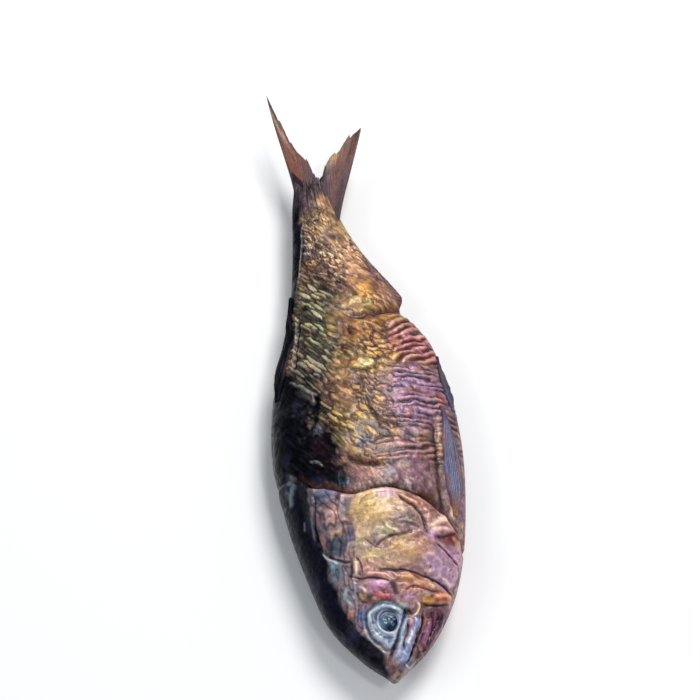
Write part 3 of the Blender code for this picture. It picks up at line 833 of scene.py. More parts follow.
def lay_creases(colour, skin):
    """Dark creases of the head, drawn out lengthways beside the soot and on the jaws, and pale streaks."""
    station, height, place = skin.station, skin.height, skin.place
    bare = (1 - skin.trunk) * (1 - 0.75 * skin.bone)
    bare = bare * (1 - 0.7 * smooth(0.040, 0.0, np.hypot(station - 0.20, height - 0.11) - 0.02))
    beside_soot = smooth(-0.03, -0.05, height)
    drawn = beside_soot + smooth(0.112, 0.100, station) * smooth(0.0, 0.03, height)
    net = np.abs(noise(place * 58 + 0.5 * noise(place * 30, 65)[..., None], 66))
    net = smooth(0.10, 0.02, net) * smooth(-0.2, 0.3, noise(place * 20, 69))
    streaks = np.abs(noise(place * [95, 26, 95] + 0.6 * noise(place * 24, 67)[..., None], 68))
    lay(colour, (70, 30, 50), 0.55 * bare * net)
    lay(colour, (26, 20, 34), 0.75 * bare * drawn * smooth(0.22, 0.04, streaks))
    pale = 0.40 * bare * smooth(0.42, 0.62, streaks) * (1 - skin.soot)
    lay(colour, (168, 172, 190), pale * beside_soot)
    lay(colour, (168, 84, 130), pale * smooth(0.115, 0.10, station) * smooth(0.045, 0.055, height))


def lay_cells(colour, skin):
    """Broad light and dark, a tone for each cell of the trunk, and the crests and valleys of its wrinkles."""
    broad = 0.16 * noise(skin.place * 19, 48) + 0.16 * noise(skin.place * 43, 49)
    colour *= np.exp(broad * (0.5 + skin.trunk))[..., None]
    tone = 0.85 + 0.25 * skin.chance + 0.25 * (skin.fine_chance - 0.5)
    colour *= (1 + skin.celled * (tone - 1))[..., None]
    pale = skin.celled * smooth(0.75, 0.95, skin.fine_chance) * (1 - skin.soot)
    lay(colour, (222, 196, 142), 0.20 * pale)
    ridge = skin_ridge(skin)
    for *measures, crest, valley, strength in TEXTURES:
        at, across, reach, width = np.array(measures) / PLACES_PER_LENGTH
        along, aside = (skin.station - at) / reach, (skin.height - across) / width
        share = strength * skin.trunk * (1 - skin.folded) * np.exp(-((along**2 + aside**2) ** 1.5))
        # Crest colours, partly painted highlights, and valley colours, partly painted shade.
        lay(colour, crest, share * smooth(0.50, 0.90, ridge))
        lay(colour, valley, share * smooth(0.42, 0.10, ridge))


def lay_folds(colour, skin):
    """The long wrinkles over the ribs, with grey-blue and brown flecks on the purple ones, and dark cells."""
    place = skin.place
    for (*_, paint, valley), (crest, shown) in zip(FOLDS, skin.folds):
        # Pale crests, partly painted highlights, and dark valleys, partly painted shade.
        lay(colour, paint, 0.60 * shown * smooth(0.60, 1.0, crest) * (0.6 + 0.8 * noise(place * 34, 98)))
        lay(colour, valley, 0.80 * shown * smooth(0.55, 0.15, crest))
    purple = skin.folds[1][1]
    lay(colour, (104, 108, 148), 0.60 * purple * smooth(0.05, 0.45, noise(place * [60, 90, 60], 99)))
    lay(colour, (176, 124, 96), 0.55 * purple * smooth(0.20, 0.55, noise(place * [52, 80, 52], 100)))
    lay(colour, (48, 30, 34), 0.60 * skin.celled * smooth(0.14, 0.04, skin.fine_chance))


def lay_soot(colour, skin):
    """The black skin with blue and grey in it, a dusky border beside it, and what shows through it."""
    station, place, soot = skin.station, skin.place, skin.soot
    beside = past_soot(station, skin.height) + 0.030 * noise(place * 38, 103)
    beside = smooth(0.034, 0.0, beside) * skin.trunk * smooth(0.66, 0.58, station)
    lay(colour, (38, 32, 30), 0.70 * beside * smooth(-0.5, 0.3, noise(place * 90, 104)))
    lay(colour, SOOT, 0.97 * soot)
    # The blue in the black skin is partly a painted sheen.
    lay(colour, (44, 50, 92), 0.35 * soot * smooth(0.2, 0.6, noise(place * 26, 43)))
    lay(colour, (12, 14, 18), 0.5 * soot * smooth(0.0, 0.5, noise(place * 40, 44)))
    lay_patches(colour, skin, SOOTED, smooth(-0.45, 0.25, noise(place * 100, 107)))


def lay_eye_socket(colour, skin):
    """The pale skin round the eye, with a pale and a dark rim, and the arcs close round the eyeball."""
    station, height, place = skin.station, skin.height, skin.place
    depth = inside(EYE_SOCKET, skin.x, skin.y)
    near_back = smooth(0.012, -0.012, height)
    far = eye_distance(skin.x, skin.y)
    behind = smooth(0.004, 0.016, 0.6 * (EYE[0] - station) + 0.7 * (EYE[1] - height))
    for paint, share in (
        ((128, 154, 182), 0.85 * smooth(-0.008, 0.006, depth + 0.004 * noise(place * 50, 46))),
        ((196, 208, 214), 0.70 * bump(depth, 0.007, 0.004) * smooth(-0.4, 0.4, noise(place * 46, 45))),
        ((186, 200, 210), 0.60 * bump(depth, -0.005, 0.0022) * near_back * smooth(0.105, 0.085, station)),
        ((40, 46, 76), 0.80 * bump(depth, 0, 0.0018) * near_back * smooth(-0.5, 0.2, noise(place * 55, 47))),
        ((188, 194, 212), 0.50 * bump(far, 1.18, 0.20) * smooth(0.100, 0.090, station)),
        ((58, 34, 72), 0.90 * bump(far, 1.24, 0.13) * smooth(0.097, 0.106, station - 0.15 * height)),
        ((36, 34, 60), 0.80 * bump(far, 1.58, 0.07) * behind),
    ):
        lay(colour, paint, share)


def lay_lone_scale(colour, skin):
    """The lone big scale, gold and pale yellow, with a brown shadow on its side towards the snout."""
    along, across, off = lone_scale(skin)
    shown = smooth(1.05, 0.85, off) * (skin.up > 0)
    pale = 0.4 * along - 0.5 * across + 0.5 * noise(skin.place * 80, 102)
    lay(colour, (66, 42, 26), 0.75 * bump(off, 1.25, 0.16) * smooth(0.2, -0.5, along))
    lay(colour, (196, 140, 66), 0.85 * shown)
    lay(colour, (240, 226, 158), 0.90 * shown * smooth(0.35, -0.35, pale))


def skin_colour(skin):
    """The tint of each point of the skin, before its crests and hollows are shaded."""
    nape = 0.75 * (1 - skin.trunk) * smooth(-0.058, -0.082, skin.height)
    colour = painted(skin.place.shape, HEAD_SKIN, ((SKIN, skin.trunk), (NAPE, nape)))
    lay_patches(colour, skin, PATCHES)
    for number, (paint, scale, level, on_trunk, on_head) in enumerate(STAINS):
        stain = smooth(level, level + 0.30, noise(skin.place * scale, 35 + number))
        lay(colour, paint, (on_head * (1 - 0.85 * skin.bone) + skin.trunk * (on_trunk - on_head)) * stain)
    lay_creases(colour, skin)
    lay_cells(colour, skin)
    lay_folds(colour, skin)
    lay_soot(colour, skin)
    for number, (path, width, _, paint, share) in enumerate(LINES):
        lay(colour, paint, share * line_share(skin, number, path, 0.95 * (width / RELIEF_PER_LENGTH)))
    lay_eye_socket(colour, skin)
    lay_lone_scale(colour, skin)
    return np.clip(colour, 0.002, 0.95)


# ---- Meshes ----


def around_angles():
    """Angles round the body at even distances along its skin, closer on the flank that shows."""
    turn = np.linspace(0, math.pi, 2001)
    steps = np.hypot(HALF_HEIGHT * np.sin(turn), HALF_THICKNESS * np.cos(turn))
    walked = np.concatenate([[0], np.cumsum(0.5 * (steps[1:] + steps[:-1]))])
    walked /= walked[-1]
    shown = np.interp(np.arange(SHOWN_POINTS) / SHOWN_POINTS, walked, turn)
    under = np.interp(np.arange(UNDER_POINTS) / UNDER_POINTS, walked, turn) + math.pi
    return np.concatenate([shown, under])


def grid(rows, columns, start=0):
    """Two shares that run down and across a grid of points: from 0 to 1, and from start to 1."""
    return np.meshgrid(np.linspace(0, 1, rows), np.linspace(start, 1, columns), indexing="ij")


def blurred(field, reach, closed=True):
    """The grid's field averaged over about reach cells each way; its second axis may close on itself."""
    for _ in range(2):
        padded = np.pad(field, ((reach, reach), (0, 0)), mode="edge")
        field = np.mean([padded[i : i + field.shape[0]] for i in range(2 * reach + 1)], axis=0)
        padded = np.pad(field, ((0, 0), (reach, reach)), mode="wrap" if closed else "edge")
        field = np.mean([padded[:, i : i + field.shape[1]] for i in range(2 * reach + 1)], axis=0)
    return field


def add_object(name, data):
    """A new object in the scene that holds the data."""
    made = bpy.data.objects.new(name, data)
    bpy.context.scene.collection.objects.link(made)
    return made


def add_piece(name, points, faces, material, slot, **attributes):
    """A smooth mesh that rides on the fish, with an attribute per point for each keyword."""
    mesh = bpy.data.meshes.new(name)
    mesh.from_pydata(points.tolist(), [], faces)
    for label, values in attributes.items():
        if values.ndim == 2:
            layer = mesh.attributes.new(label, "FLOAT_COLOR", "POINT")
            layer.data.foreach_set("color", np.column_stack([values, np.ones(len(values))]).ravel())
        else:
            layer = mesh.attributes.new(label, "FLOAT", "POINT")
            layer.data.foreach_set("value", values)
    mesh.materials.append(material)
    mesh.shade_smooth()
    piece = add_object(name, mesh)
    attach(piece, BODY)
    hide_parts(NODE)


def ring_faces(count, around):
    """Faces of a tube of rings that is closed by a point at each end, which follow the rings' points."""
    i, j = np.meshgrid(np.arange(count - 1), np.arange(around), indexing="ij")
    here, beside = i * around + j, i * around + (j + 1) % around
    quads = np.stack([here, beside, beside + around, here + around], axis=-1).reshape(-1, 4)
    first, last = count * around, count * around + 1
    tail = (count - 1) * around
    ends = [(first, (j + 1) % around, j) for j in range(around)]
    ends += [(last, tail + j, tail + (j + 1) % around) for j in range(around)]
    return quads.tolist() + ends


def with_ends(rings):
    """The rings' points or values in a row, with each end's average after them."""
    flat = rings.reshape(-1, *rings.shape[2:])
    return np.concatenate([flat, rings[0].mean(axis=0)[None], rings[-1].mean(axis=0)[None]])


def add_tube(name, points, material, colour, crest, flip=False):
    """Skin over a grid of rings, closed at both ends."""
    faces = ring_faces(*crest.shape)
    if flip:
        faces = [face[::-1] for face in faces]
    tint = with_ends(colour)
    add_piece(name, with_ends(points), faces, material, "smoked_skin", tint=tint, crest=with_ends(crest))


def sheet_faces(rows, columns):
    """Faces of two grids of rows by columns, one above the other, joined round their border."""
    i, j = np.meshgrid(np.arange(rows - 1), np.arange(columns - 1), indexing="ij")
    here = i * columns + j
    top = np.stack([here, here + columns, here + columns + 1, here + 1], axis=-1).reshape(-1, 4)
    lower = rows * columns
    faces = top.tolist() + (top[:, ::-1] + lower).tolist()
    border = list(range(columns - 1))
    border += [i * columns + columns - 1 for i in range(rows - 1)]
    border += [(rows - 1) * columns + j for j in range(columns - 1, 0, -1)]
    border += [i * columns for i in range(rows - 1, 0, -1)]
    for start, end in zip(border, border[1:] + border[:1]):
        faces.append((start, end, end + lower, start + lower))
    return faces


def add_sheet(name, top, bottom, material, colour, crest, flip=False):
    """A fin's membrane between two grids of points, with the same colours above and below."""
    points = np.concatenate([top.reshape(-1, 3), bottom.reshape(-1, 3)])
    faces = sheet_faces(*crest.shape)
    if flip:
        faces = [face[::-1] for face in faces]
    tint = np.tile(colour.reshape(-1, 3), (2, 1))
    crest = np.tile(np.clip(crest, 0, 1).ravel(), 2)
    add_piece(name, points, faces, material, "fin_membrane", tint=tint, crest=crest)


def pressed(level):
    """Heights above the rack, with what would reach below it pressed flat in a rounded way."""
    return 0.5 * (level + np.hypot(level, PRESSED_ROUND))


def ring_normals(points):
    """Unit normals out of a grid of rings round the body."""
    girth = np.roll(points, -1, axis=1) - np.roll(points, 1, axis=1)
    normal = np.cross(np.gradient(points, axis=0), girth)
    return normal / (np.linalg.norm(normal, axis=-1, keepdims=True) + 1e-12)


def skin_grid(station, angle):
    """The skin at angles round the body, from 0 at the belly's keel over the flank that shows."""
    across = np.cos(angle)
    up = np.where(np.sin(angle) < -1e-9, -1.0, 1.0)
    return Skin(station, across, up)


def lip_rise(across):
    """How far the gill cover's free edge stands above the shoulder: not at all at the nape and the throat."""
    return LIP_RISE * smooth(-0.84, -0.66, across) * smooth(1.0, 0.85, across)


def make_head(material):
    """The head and the gill cover, which ends in a free lip over the shoulder."""
    angle = around_angles()
    end = rim_station(np.cos(angle))
    share = np.concatenate([np.linspace(0.015, 1, HEAD_RINGS) ** 1.12, [1, 1, 1]])
    station = share[:, None] * end
    angle = np.broadcast_to(angle, station.shape)
    skin = skin_grid(station, angle)
    base = placed(station, skin.height, skin.side)
    normal = ring_normals(base[:-3])
    normal = np.concatenate([normal, np.repeat(normal[-1:], 3, axis=0)])
    ahead = end - station
    across = np.cos(angle)
    lip = lip_rise(across)
    plate = lip * smooth(0.22, 0.05, ahead) * (1 - 0.30 * smooth(0.0035, 0.0, ahead))
    tuck = TUCK * (1 - lip / LIP_RISE) * smooth(0.020, 0.0, ahead)
    rise = (head_rise(skin) + line_rise(skin)) * smooth(0, 0.012, np.abs(skin.side))
    rise = rise * smooth(0, 0.020, station) + plate - tuck
    # The lip turns in under itself and closes inside the fish.
    for ring, (drop, back) in enumerate(LIP_TURN):
        rise[-3 + ring] = rise[-4] - drop
        base[-3 + ring] = placed(station[-1] - back, skin.height[-1], skin.side[-1] * (1 - 4 * back))
    points = base + LENGTH * rise[..., None] * normal
    points[..., 2] = pressed(points[..., 2])
    # Painted shade in the hollows and painted highlights on the rises of the head.
    crest = np.clip(0.58 + (rise - blurred(rise, SHADE_REACH)) / HEAD_SHADE_DEPTH, 0, 1)
    add_tube("head_skin", points, material, skin_colour(skin), crest)


def make_trunk(material):
    """The trunk from under the gill cover to the fork of the tail."""
    angle = around_angles()
    start = rim_station(np.cos(angle)) - OVERLAP
    share = np.linspace(0, 1, TRUNK_RINGS)
    turn = np.stack([3 * np.cos(angle), 3 * np.sin(angle), 0 * angle], axis=-1)
    ragged = 0.060 * noise(5 * turn, 84)
    station = start + share[:, None] * (BODY_END - start) + ragged * smooth(0.80, 1.0, share)[:, None]
    end = BODY_END + ragged
    angle = np.broadcast_to(angle, station.shape)
    skin = skin_grid(station, angle)
    base = placed(station, skin.height, skin.side)
    normal = ring_normals(base)
    ahead = start + OVERLAP - station
    lip = lip_rise(np.cos(angle))
    under = TUCK * smooth(0.0, 0.020, ahead) + 0.0020 * bump(ahead, -0.002, 0.006) * lip / LIP_RISE
    rise = (trunk_rise(skin) + line_rise(skin)) * smooth(0, 0.012, np.abs(skin.side))
    rise = rise * smooth(0, 0.015, end - station) - under
    points = base + LENGTH * rise[..., None] * normal
    points[..., 2] = pressed(points[..., 2])
    # Painted shade in the hollows and painted highlights on the crests, from wrinkles, relief and fine cells.
    valley = smooth(0.02, 0.80, skin_ridge(skin))
    lined = np.clip(0.5 + (rise - blurred(rise, SHADE_REACH)) / TRUNK_SHADE_DEPTH, 0, 1)
    speckle_and_shade = 0.55 * lined + 0.45 * smooth(0.05, 0.7, skin.fine * (0.3 + 0.7 * skin.fine_chance))
    crest = skin.trunk * (0.75 * valley + 0.25 * lined) + (1 - skin.trunk) * speckle_and_shade
    colour = skin_colour(skin)
    lay(colour, (64, 46, 56), 0.9 * smooth(0.060, 0.0, end - station + 0.030 * (skin.chance - 0.5)))
    # Painted shadow of the gill cover's free edge on the shoulder: brown, with a darker line next to the
    # edge.
    wide = 0.010 + 0.007 * smooth(-0.1, 0.3, np.cos(angle)) * smooth(0.95, 0.75, np.cos(angle))
    lay(colour, (74, 34, 16), 0.90 * bump(ahead, -0.007, wide) * lip / LIP_RISE)
    lay(colour, (40, 14, 10), 0.90 * bump(ahead, -0.002, 0.45 * wide) * lip / LIP_RISE)
    add_tube("trunk_skin", points, material, colour, crest)


def make_eye(name, up, material):
    """The dried eyeball: a sunken dome, cloudy, with a dark crescent and a pale rim, and a buried back."""
    rings = np.concatenate([np.linspace(0.03, 1, EYE_RINGS), [0.9, 0.5]])
    around = np.linspace(0, 2 * math.pi, EYE_POINTS, endpoint=False)
    radius, turn = np.meshgrid(rings, around, indexing="ij")
    buried = np.zeros(radius.shape, bool)
    buried[-2:] = True
    station = EYE[0] + EYE_RADIUS * radius * np.cos(turn)
    height = EYE[1] + EYE_RADIUS / EYE_LENGTHENED * radius * np.sin(turn)
    place = np.stack([height, station, 0 * height + up], axis=-1)
    base = half_thickness(np.array(EYE[0]), np.array(0.0))
    dome = EYE_DOME * np.sqrt(np.clip(1.02 - radius**2, 0, None)) - EYE_SINK * smooth(0.80, 0.15, radius)
    dome += 0.0012 * noise(place * 110, 51)
    side = np.where(buried, base - EYE_BURIED, base - 0.0010 + dome)
    points = placed(station, height, side * up)
    # The cloudy eye is darkest in a crescent towards the snout and the belly, inside a pale rim, and has a
    # painted highlight near its middle.
    ragged = radius + 0.13 * noise(place * 80, 54)
    crescent = smooth(-0.15, 0.65, 0.75 * np.sin(turn) - 0.65 * np.cos(turn) + 0.5 * noise(place * 60, 56))
    highlight_distance = np.hypot(radius * np.cos(turn) - 0.10, radius * np.sin(turn) - 0.05)
    colour = painted(points.shape, (80, 116, 152), (
        ((82, 114, 128), 0.8 * smooth(0.90, 0.55, ragged) * (1 - crescent)),
        ((12, 20, 48), 0.95 * smooth(0.15, 0.38, ragged) * crescent),
        ((186, 192, 210), 0.85 * smooth(0.86, 0.98, ragged + 0.14 * np.cos(turn))),
        ((66, 40, 78), 0.85 * bump(radius, 1.00, 0.12) * smooth(0.1, 0.6, np.cos(turn) - 0.3 * np.sin(turn))),
        ((30, 38, 66), 0.70 * smooth(0.15, 0.45, noise(place * 130, 55)) * smooth(0.90, 0.60, ragged)),
        # A painted highlight.
        ((180, 208, 218), 0.85 * smooth(0.17, 0.06, highlight_distance + 0.05 * noise(place * 200, 57))),
    ))
    crest = 0.55 + 0.2 * noise(place * 150, 53)
    add_tube(name, points, material, colour, crest, flip=up > 0)


# ---- The tail and the fins ----

# Each lobe of the tail: root from its outer ray to the fork as (station, height), free edge as (ray, station,
# height), how far the outer ray is drawn in, twist, bundles of rays that have torn apart, a seed, and patches
# of colour: ray and way out along it, reach of both, colour and how much of it shows.
TAIL_LOBES = {
    "tail_back_lobe": (
        ((0.94, -0.046), (0.95, 0.006)),
        ((0.00, 1.290, -0.068), (0.25, 1.215, -0.046), (0.45, 1.150, -0.026), (0.60, 1.120, -0.006),
         (0.80, 1.085, 0.004), (1.00, 1.048, 0.014)),
        0.012, 0.05, 5, 61,
        (
            (0.35, 0.60, 0.20, 0.35, (164, 84, 46), 0.80),
            (0.75, 0.55, 0.35, 0.35, (72, 44, 60), 0.85),
            (0.15, 0.87, 0.22, 0.05, (214, 186, 160), 0.80),
            (0.05, 0.99, 0.25, 0.06, (54, 62, 62), 0.95),
            (0.00, 0.40, 0.07, 0.40, (84, 56, 72), 0.75),
            (0.00, 0.28, 0.30, 0.16, (50, 50, 70), 0.95),
        ),
    ),
    "tail_belly_lobe": (
        ((0.94, 0.034), (0.95, 0.002)),
        ((0.00, 1.175, 0.115), (0.20, 1.166, 0.092), (0.45, 1.135, 0.064), (0.65, 1.112, 0.038),
         (0.82, 1.085, 0.024), (1.00, 1.048, 0.014)),
        -0.004, 0.02, 4, 62,
        (
            (0.45, 0.55, 0.16, 0.40, (140, 76, 62), 0.75),
            (0.95, 0.70, 0.28, 0.50, (66, 40, 58), 0.90),
            (0.52, 0.95, 0.15, 0.07, (200, 164, 106), 0.85),
            (0.02, 0.97, 0.16, 0.07, (62, 56, 46), 0.85),
            (0.00, 0.50, 0.09, 0.60, (108, 60, 70), 0.75),
        ),
    ),
}
RAY_COUNT = 26  # of the rays seen on each lobe
TAIL_SKIN = (120, 78, 66)


def ribs(turns):
    """0 between the rays and 1 on them, where turns grows by one from ray to ray."""
    return np.abs(np.cos(math.pi * turns))


def make_tail_lobe(name, material):
    """A lobe of the tail: rays that fan out from the root, dried together and broken off in ragged steps."""
    root, edge, waist, twist, teeth, seed, patches = TAIL_LOBES[name]
    dice = np.random.default_rng(seed)
    ray, out = grid(RAYS, RAY_STEPS)
    place = np.stack([6 * ray, 1.5 * out, 0 * ray], axis=-1)
    teeth_at = ray * teeth + 0.25 * noise(place, seed)
    saw = teeth_at - np.floor(teeth_at)
    ragged = dice.random(RAYS)[:, None]
    tear = 0.045 * saw**1.5 * smooth(1.0, 0.93, saw) + 0.012 * ragged * smooth(0.02, 0.1, ray)
    start = [root[0][axis] + (root[1][axis] - root[0][axis]) * ray for axis in (0, 1)]
    end = [curve(edge, ray, axis + 1) for axis in (0, 1)]
    reach = out * (1 - tear)
    station = start[0] + (end[0] - start[0]) * reach
    height = start[1] + (end[1] - start[1]) * reach
    height = height + waist * (1 - ray) * np.sin(math.pi * out**0.6) ** 2
    rib = ribs(ray * RAY_COUNT + 0.35 * noise(place * 2, seed + 5))
    ripple = 0.0030 * noise(place * [0.6, 2.0, 1], seed + 6) * out
    middle = twist * (station - root[0][0]) * height / 0.1 + ripple
    half = 0.0008 + 0.0040 * (1 - out) ** 2 + 0.0009 * rib * (1 - 0.6 * out)
    border = smooth(0, 0.03, ray) * smooth(1, 0.985, ray)
    half = half * (0.45 + 0.55 * border)
    top, bottom = placed(station, height, middle + half), placed(station, height, middle - half)
    colour = painted(top.shape, TAIL_SKIN, (
        ((60, 45, 58), 0.90 * smooth(1.13, 1.04, station)),
        ((70, 52, 56), 0.6 * smooth(0.2, 0.7, noise(place * [1.4, 2, 1], seed + 7))),
        ((104, 76, 84), 0.5 * smooth(0.5, 1.0, ray)),
    ))
    streaky = 0.75 + 0.35 * noise(place * [2.2, 1.2, 1], seed + 8)
    for at, outward, reach, width, paint, share in patches:
        near = np.exp(-(((ray - at) / reach) ** 2 + ((out - outward) / width) ** 2))
        lay(colour, paint, share * near * streaky)
    worn = smooth(0.965, 1.0, out) * smooth(-0.3, 0.3, noise(place * 3, seed + 10))
    lay(colour, (62, 42, 54), 0.55 * worn)
    crest = 0.42 + 0.28 * rib + 0.30 * noise(place * [2.5, 5, 1], seed + 9)
    add_sheet(name, top, bottom, material, colour, crest)


def tangent_normals(points):
    """Unit normals of an open grid of points, on the side that faces up."""
    normal = np.cross(np.gradient(points, axis=0), np.gradient(points, axis=1))
    normal /= np.linalg.norm(normal, axis=-1, keepdims=True) + 1e-12
    return normal * np.where(normal[..., 2:] < 0, -1, 1)


# Fins that have dried flat on the flank: base and tip as (station, across), width, rays, colours of the leaf
# and its rim, and a seed.
LAID_FINS = {
    "pectoral_fin": ((0.285, 0.862), (0.505, 0.806), 0.094, 9, (122, 122, 158), (112, 84, 104), 71),
    "pelvic_fin": ((0.500, 0.925), (0.622, 0.940), 0.045, 7, (66, 68, 102), (74, 54, 70), 72),
    "back_fin": ((0.562, -0.950), (0.790, -0.960), 0.060, 12, (12, 13, 24), (30, 28, 34), 73),
}


def make_laid_fin(name, up, material):
    """A fin folded into a leaf, with its rays side by side and its edge raised off the skin."""
    base, tip, width, rays, leaf, rim, seed = LAID_FINS[name]
    out, turn = grid(FIN_STEPS, FIN_POINTS, -1)
    place = np.stack([3 * turn, 6 * out, 0 * out + up], axis=-1)
    spread = (0.30 + 0.70 * smooth(0, 0.30, out)) * (1 - 0.82 * smooth(0.45, 1.0, out) ** 1.3)
    ragged = 1 - 0.05 * np.abs(noise(place * [3, 1, 1], seed)) * out
    station = base[0] + (tip[0] - base[0]) * out * ragged
    bulge = 0.012 * np.sin(math.pi * out) * width / 0.1
    across = base[1] + (tip[1] - base[1]) * out + width * spread * turn + bulge
    across = np.clip(across, -0.985, 0.985)
    height = height_at(station, across)
    side = half_thickness(station, across) * up
    skin = placed(station, height, side)
    normal = tangent_normals(skin) * up
    under = Skin(station, across, np.full(station.shape, float(up)))
    rise = blurred(trunk_rise(under) + line_rise(under), 3, closed=False)
    rib = ribs(rays * turn / 2 + 0.2 * noise(place, seed + 1))
    border = smooth(1.0, 0.80, np.abs(turn))
    lift = 0.0008 + 0.0036 * border * smooth(0, 0.15, out) + 0.0011 * rib * border
    lift += 0.0012 * bump(np.abs(turn), 0.88, 0.09) + 0.0012 * noise(place * 0.7, seed + 2)
    lift *= 0.6 if name == "pelvic_fin" else 1.0
    top = skin + LENGTH * (rise + lift)[..., None] * normal
    bottom = skin + LENGTH * (rise - 0.0040)[..., None] * normal
    top[..., 2], bottom[..., 2] = np.maximum(top[..., 2], 0.0002), np.maximum(bottom[..., 2], 0.0)
    brown = smooth(0.0, 0.5, noise(place * [0.5, 0.6, 1], seed + 5)) * (name != "back_fin")
    colour = painted(top.shape, leaf, (
        ([0.55 * c for c in leaf], 0.75 * (1 - rib) * border),
        (rim, 0.85 * bump(np.abs(turn), 0.90, 0.14) * smooth(-0.6, 0.2, noise(place, seed + 3))),
        (rim, 0.6 * smooth(0.80, 1.0, out)),
        ((150, 100, 76), 0.5 * brown),
        ((56, 50, 72), 0.6 * smooth(0.1, 0.5, noise(place * [1.2, 0.8, 1], seed + 6))),
        ((176, 112, 70), 0.7 * smooth(0.20, 0.02, out) * (name == "pectoral_fin")),
    ))
    crest = 0.35 + 0.4 * rib + 0.2 * noise(place * 3, seed + 4)
    label = name if up > 0 else name + "_under"
    add_sheet(label, top, bottom, material, colour, crest, flip=up < 0)


ANAL_FIN = (0.748, 0.880)  # stations of its two ends
ANAL_FIN_RISE, ANAL_FIN_ROOT = 0.017, 0.022


def make_anal_fin(material):
    """The stub of the fin behind the vent, shrunken to a low brown fold along the belly's edge."""
    share, out = grid(STUB_STEPS, STUB_POINTS)
    place = np.stack([2 * out, 9 * share, 0 * share], axis=-1)
    station = ANAL_FIN[0] + (ANAL_FIN[1] - ANAL_FIN[0]) * share
    ragged = 1 - 0.10 * np.abs(noise(place * [0, 2, 1], 81))
    rise = ANAL_FIN_RISE * smooth(-0.02, 0.20, share) * (1 - share) ** 1.6 * ragged
    height = belly_height(station) - ANAL_FIN_ROOT + (ANAL_FIN_ROOT + rise) * out
    rib = ribs(14 * share + 2 * out)
    middle = 0.0015 * noise(place, 82) * out
    half = 0.0010 + 0.0060 * (1 - out) ** 1.5 + 0.0008 * rib
    top, bottom = placed(station, height, middle + half), placed(station, height, middle - half)
    colour = painted(top.shape, (146, 94, 78), (
        ((196, 140, 104), 0.5 * smooth(0.2, 0.6, noise(place * [2, 3, 1], 85))),
        ((92, 52, 62), 0.8 * smooth(0.6, 1.0, out)),
        ((78, 34, 46), 0.9 * smooth(0.30, 0.12, share)),
        ((66, 36, 44), 0.5 * (1 - rib)),
    ))
    crest = 0.4 + 0.35 * rib + 0.2 * noise(place * 4, 83)
    add_sheet("anal_fin", top, bottom, material, colour, crest)


# ---- Materials ----

SOOT_LIGHT = (0.010, 0.050)  # a tint as dark as the first is soot, and one as light as the second is not
SOOT_METAL = 0.92


def add_node(tree, kind, inputs=None, **settings):
    """A new node, with its inputs linked to sockets or set to values."""
    made = tree.nodes.new(kind)
    for key, value in settings.items():
        setattr(made, key, value)
    for key, value in (inputs or {}).items():
        if isinstance(value, bpy.types.NodeSocket):
            tree.links.new(value, made.inputs[key])
        else:
            made.inputs[key].default_value = value
    return made


def ramp(tree, factor, stops):
    """A colour ramp through stops of (place, colour or grey)."""
    made = add_node(tree, "ShaderNodeValToRGB", {"Fac": factor})
    elements = made.color_ramp.elements
    while len(elements) < len(stops):
        elements.new(0.5)
    for element, (place, shade) in zip(elements, stops):
        element.position = place
        element.color = (*(shade if isinstance(shade, tuple) else (shade,) * 3), 1)
    return made.outputs["Color"]


def multiplied(tree, first, second, share):
    """The first colour, multiplied by the second by a share."""
    # The node holds its sockets once for each data type, and 6, 7 and 2 are the places of the colours'.
    inputs = {0: share, 6: first, 7: second}
    return add_node(tree, "ShaderNodeMix", inputs, data_type="RGBA", blend_type="MULTIPLY").outputs[2]


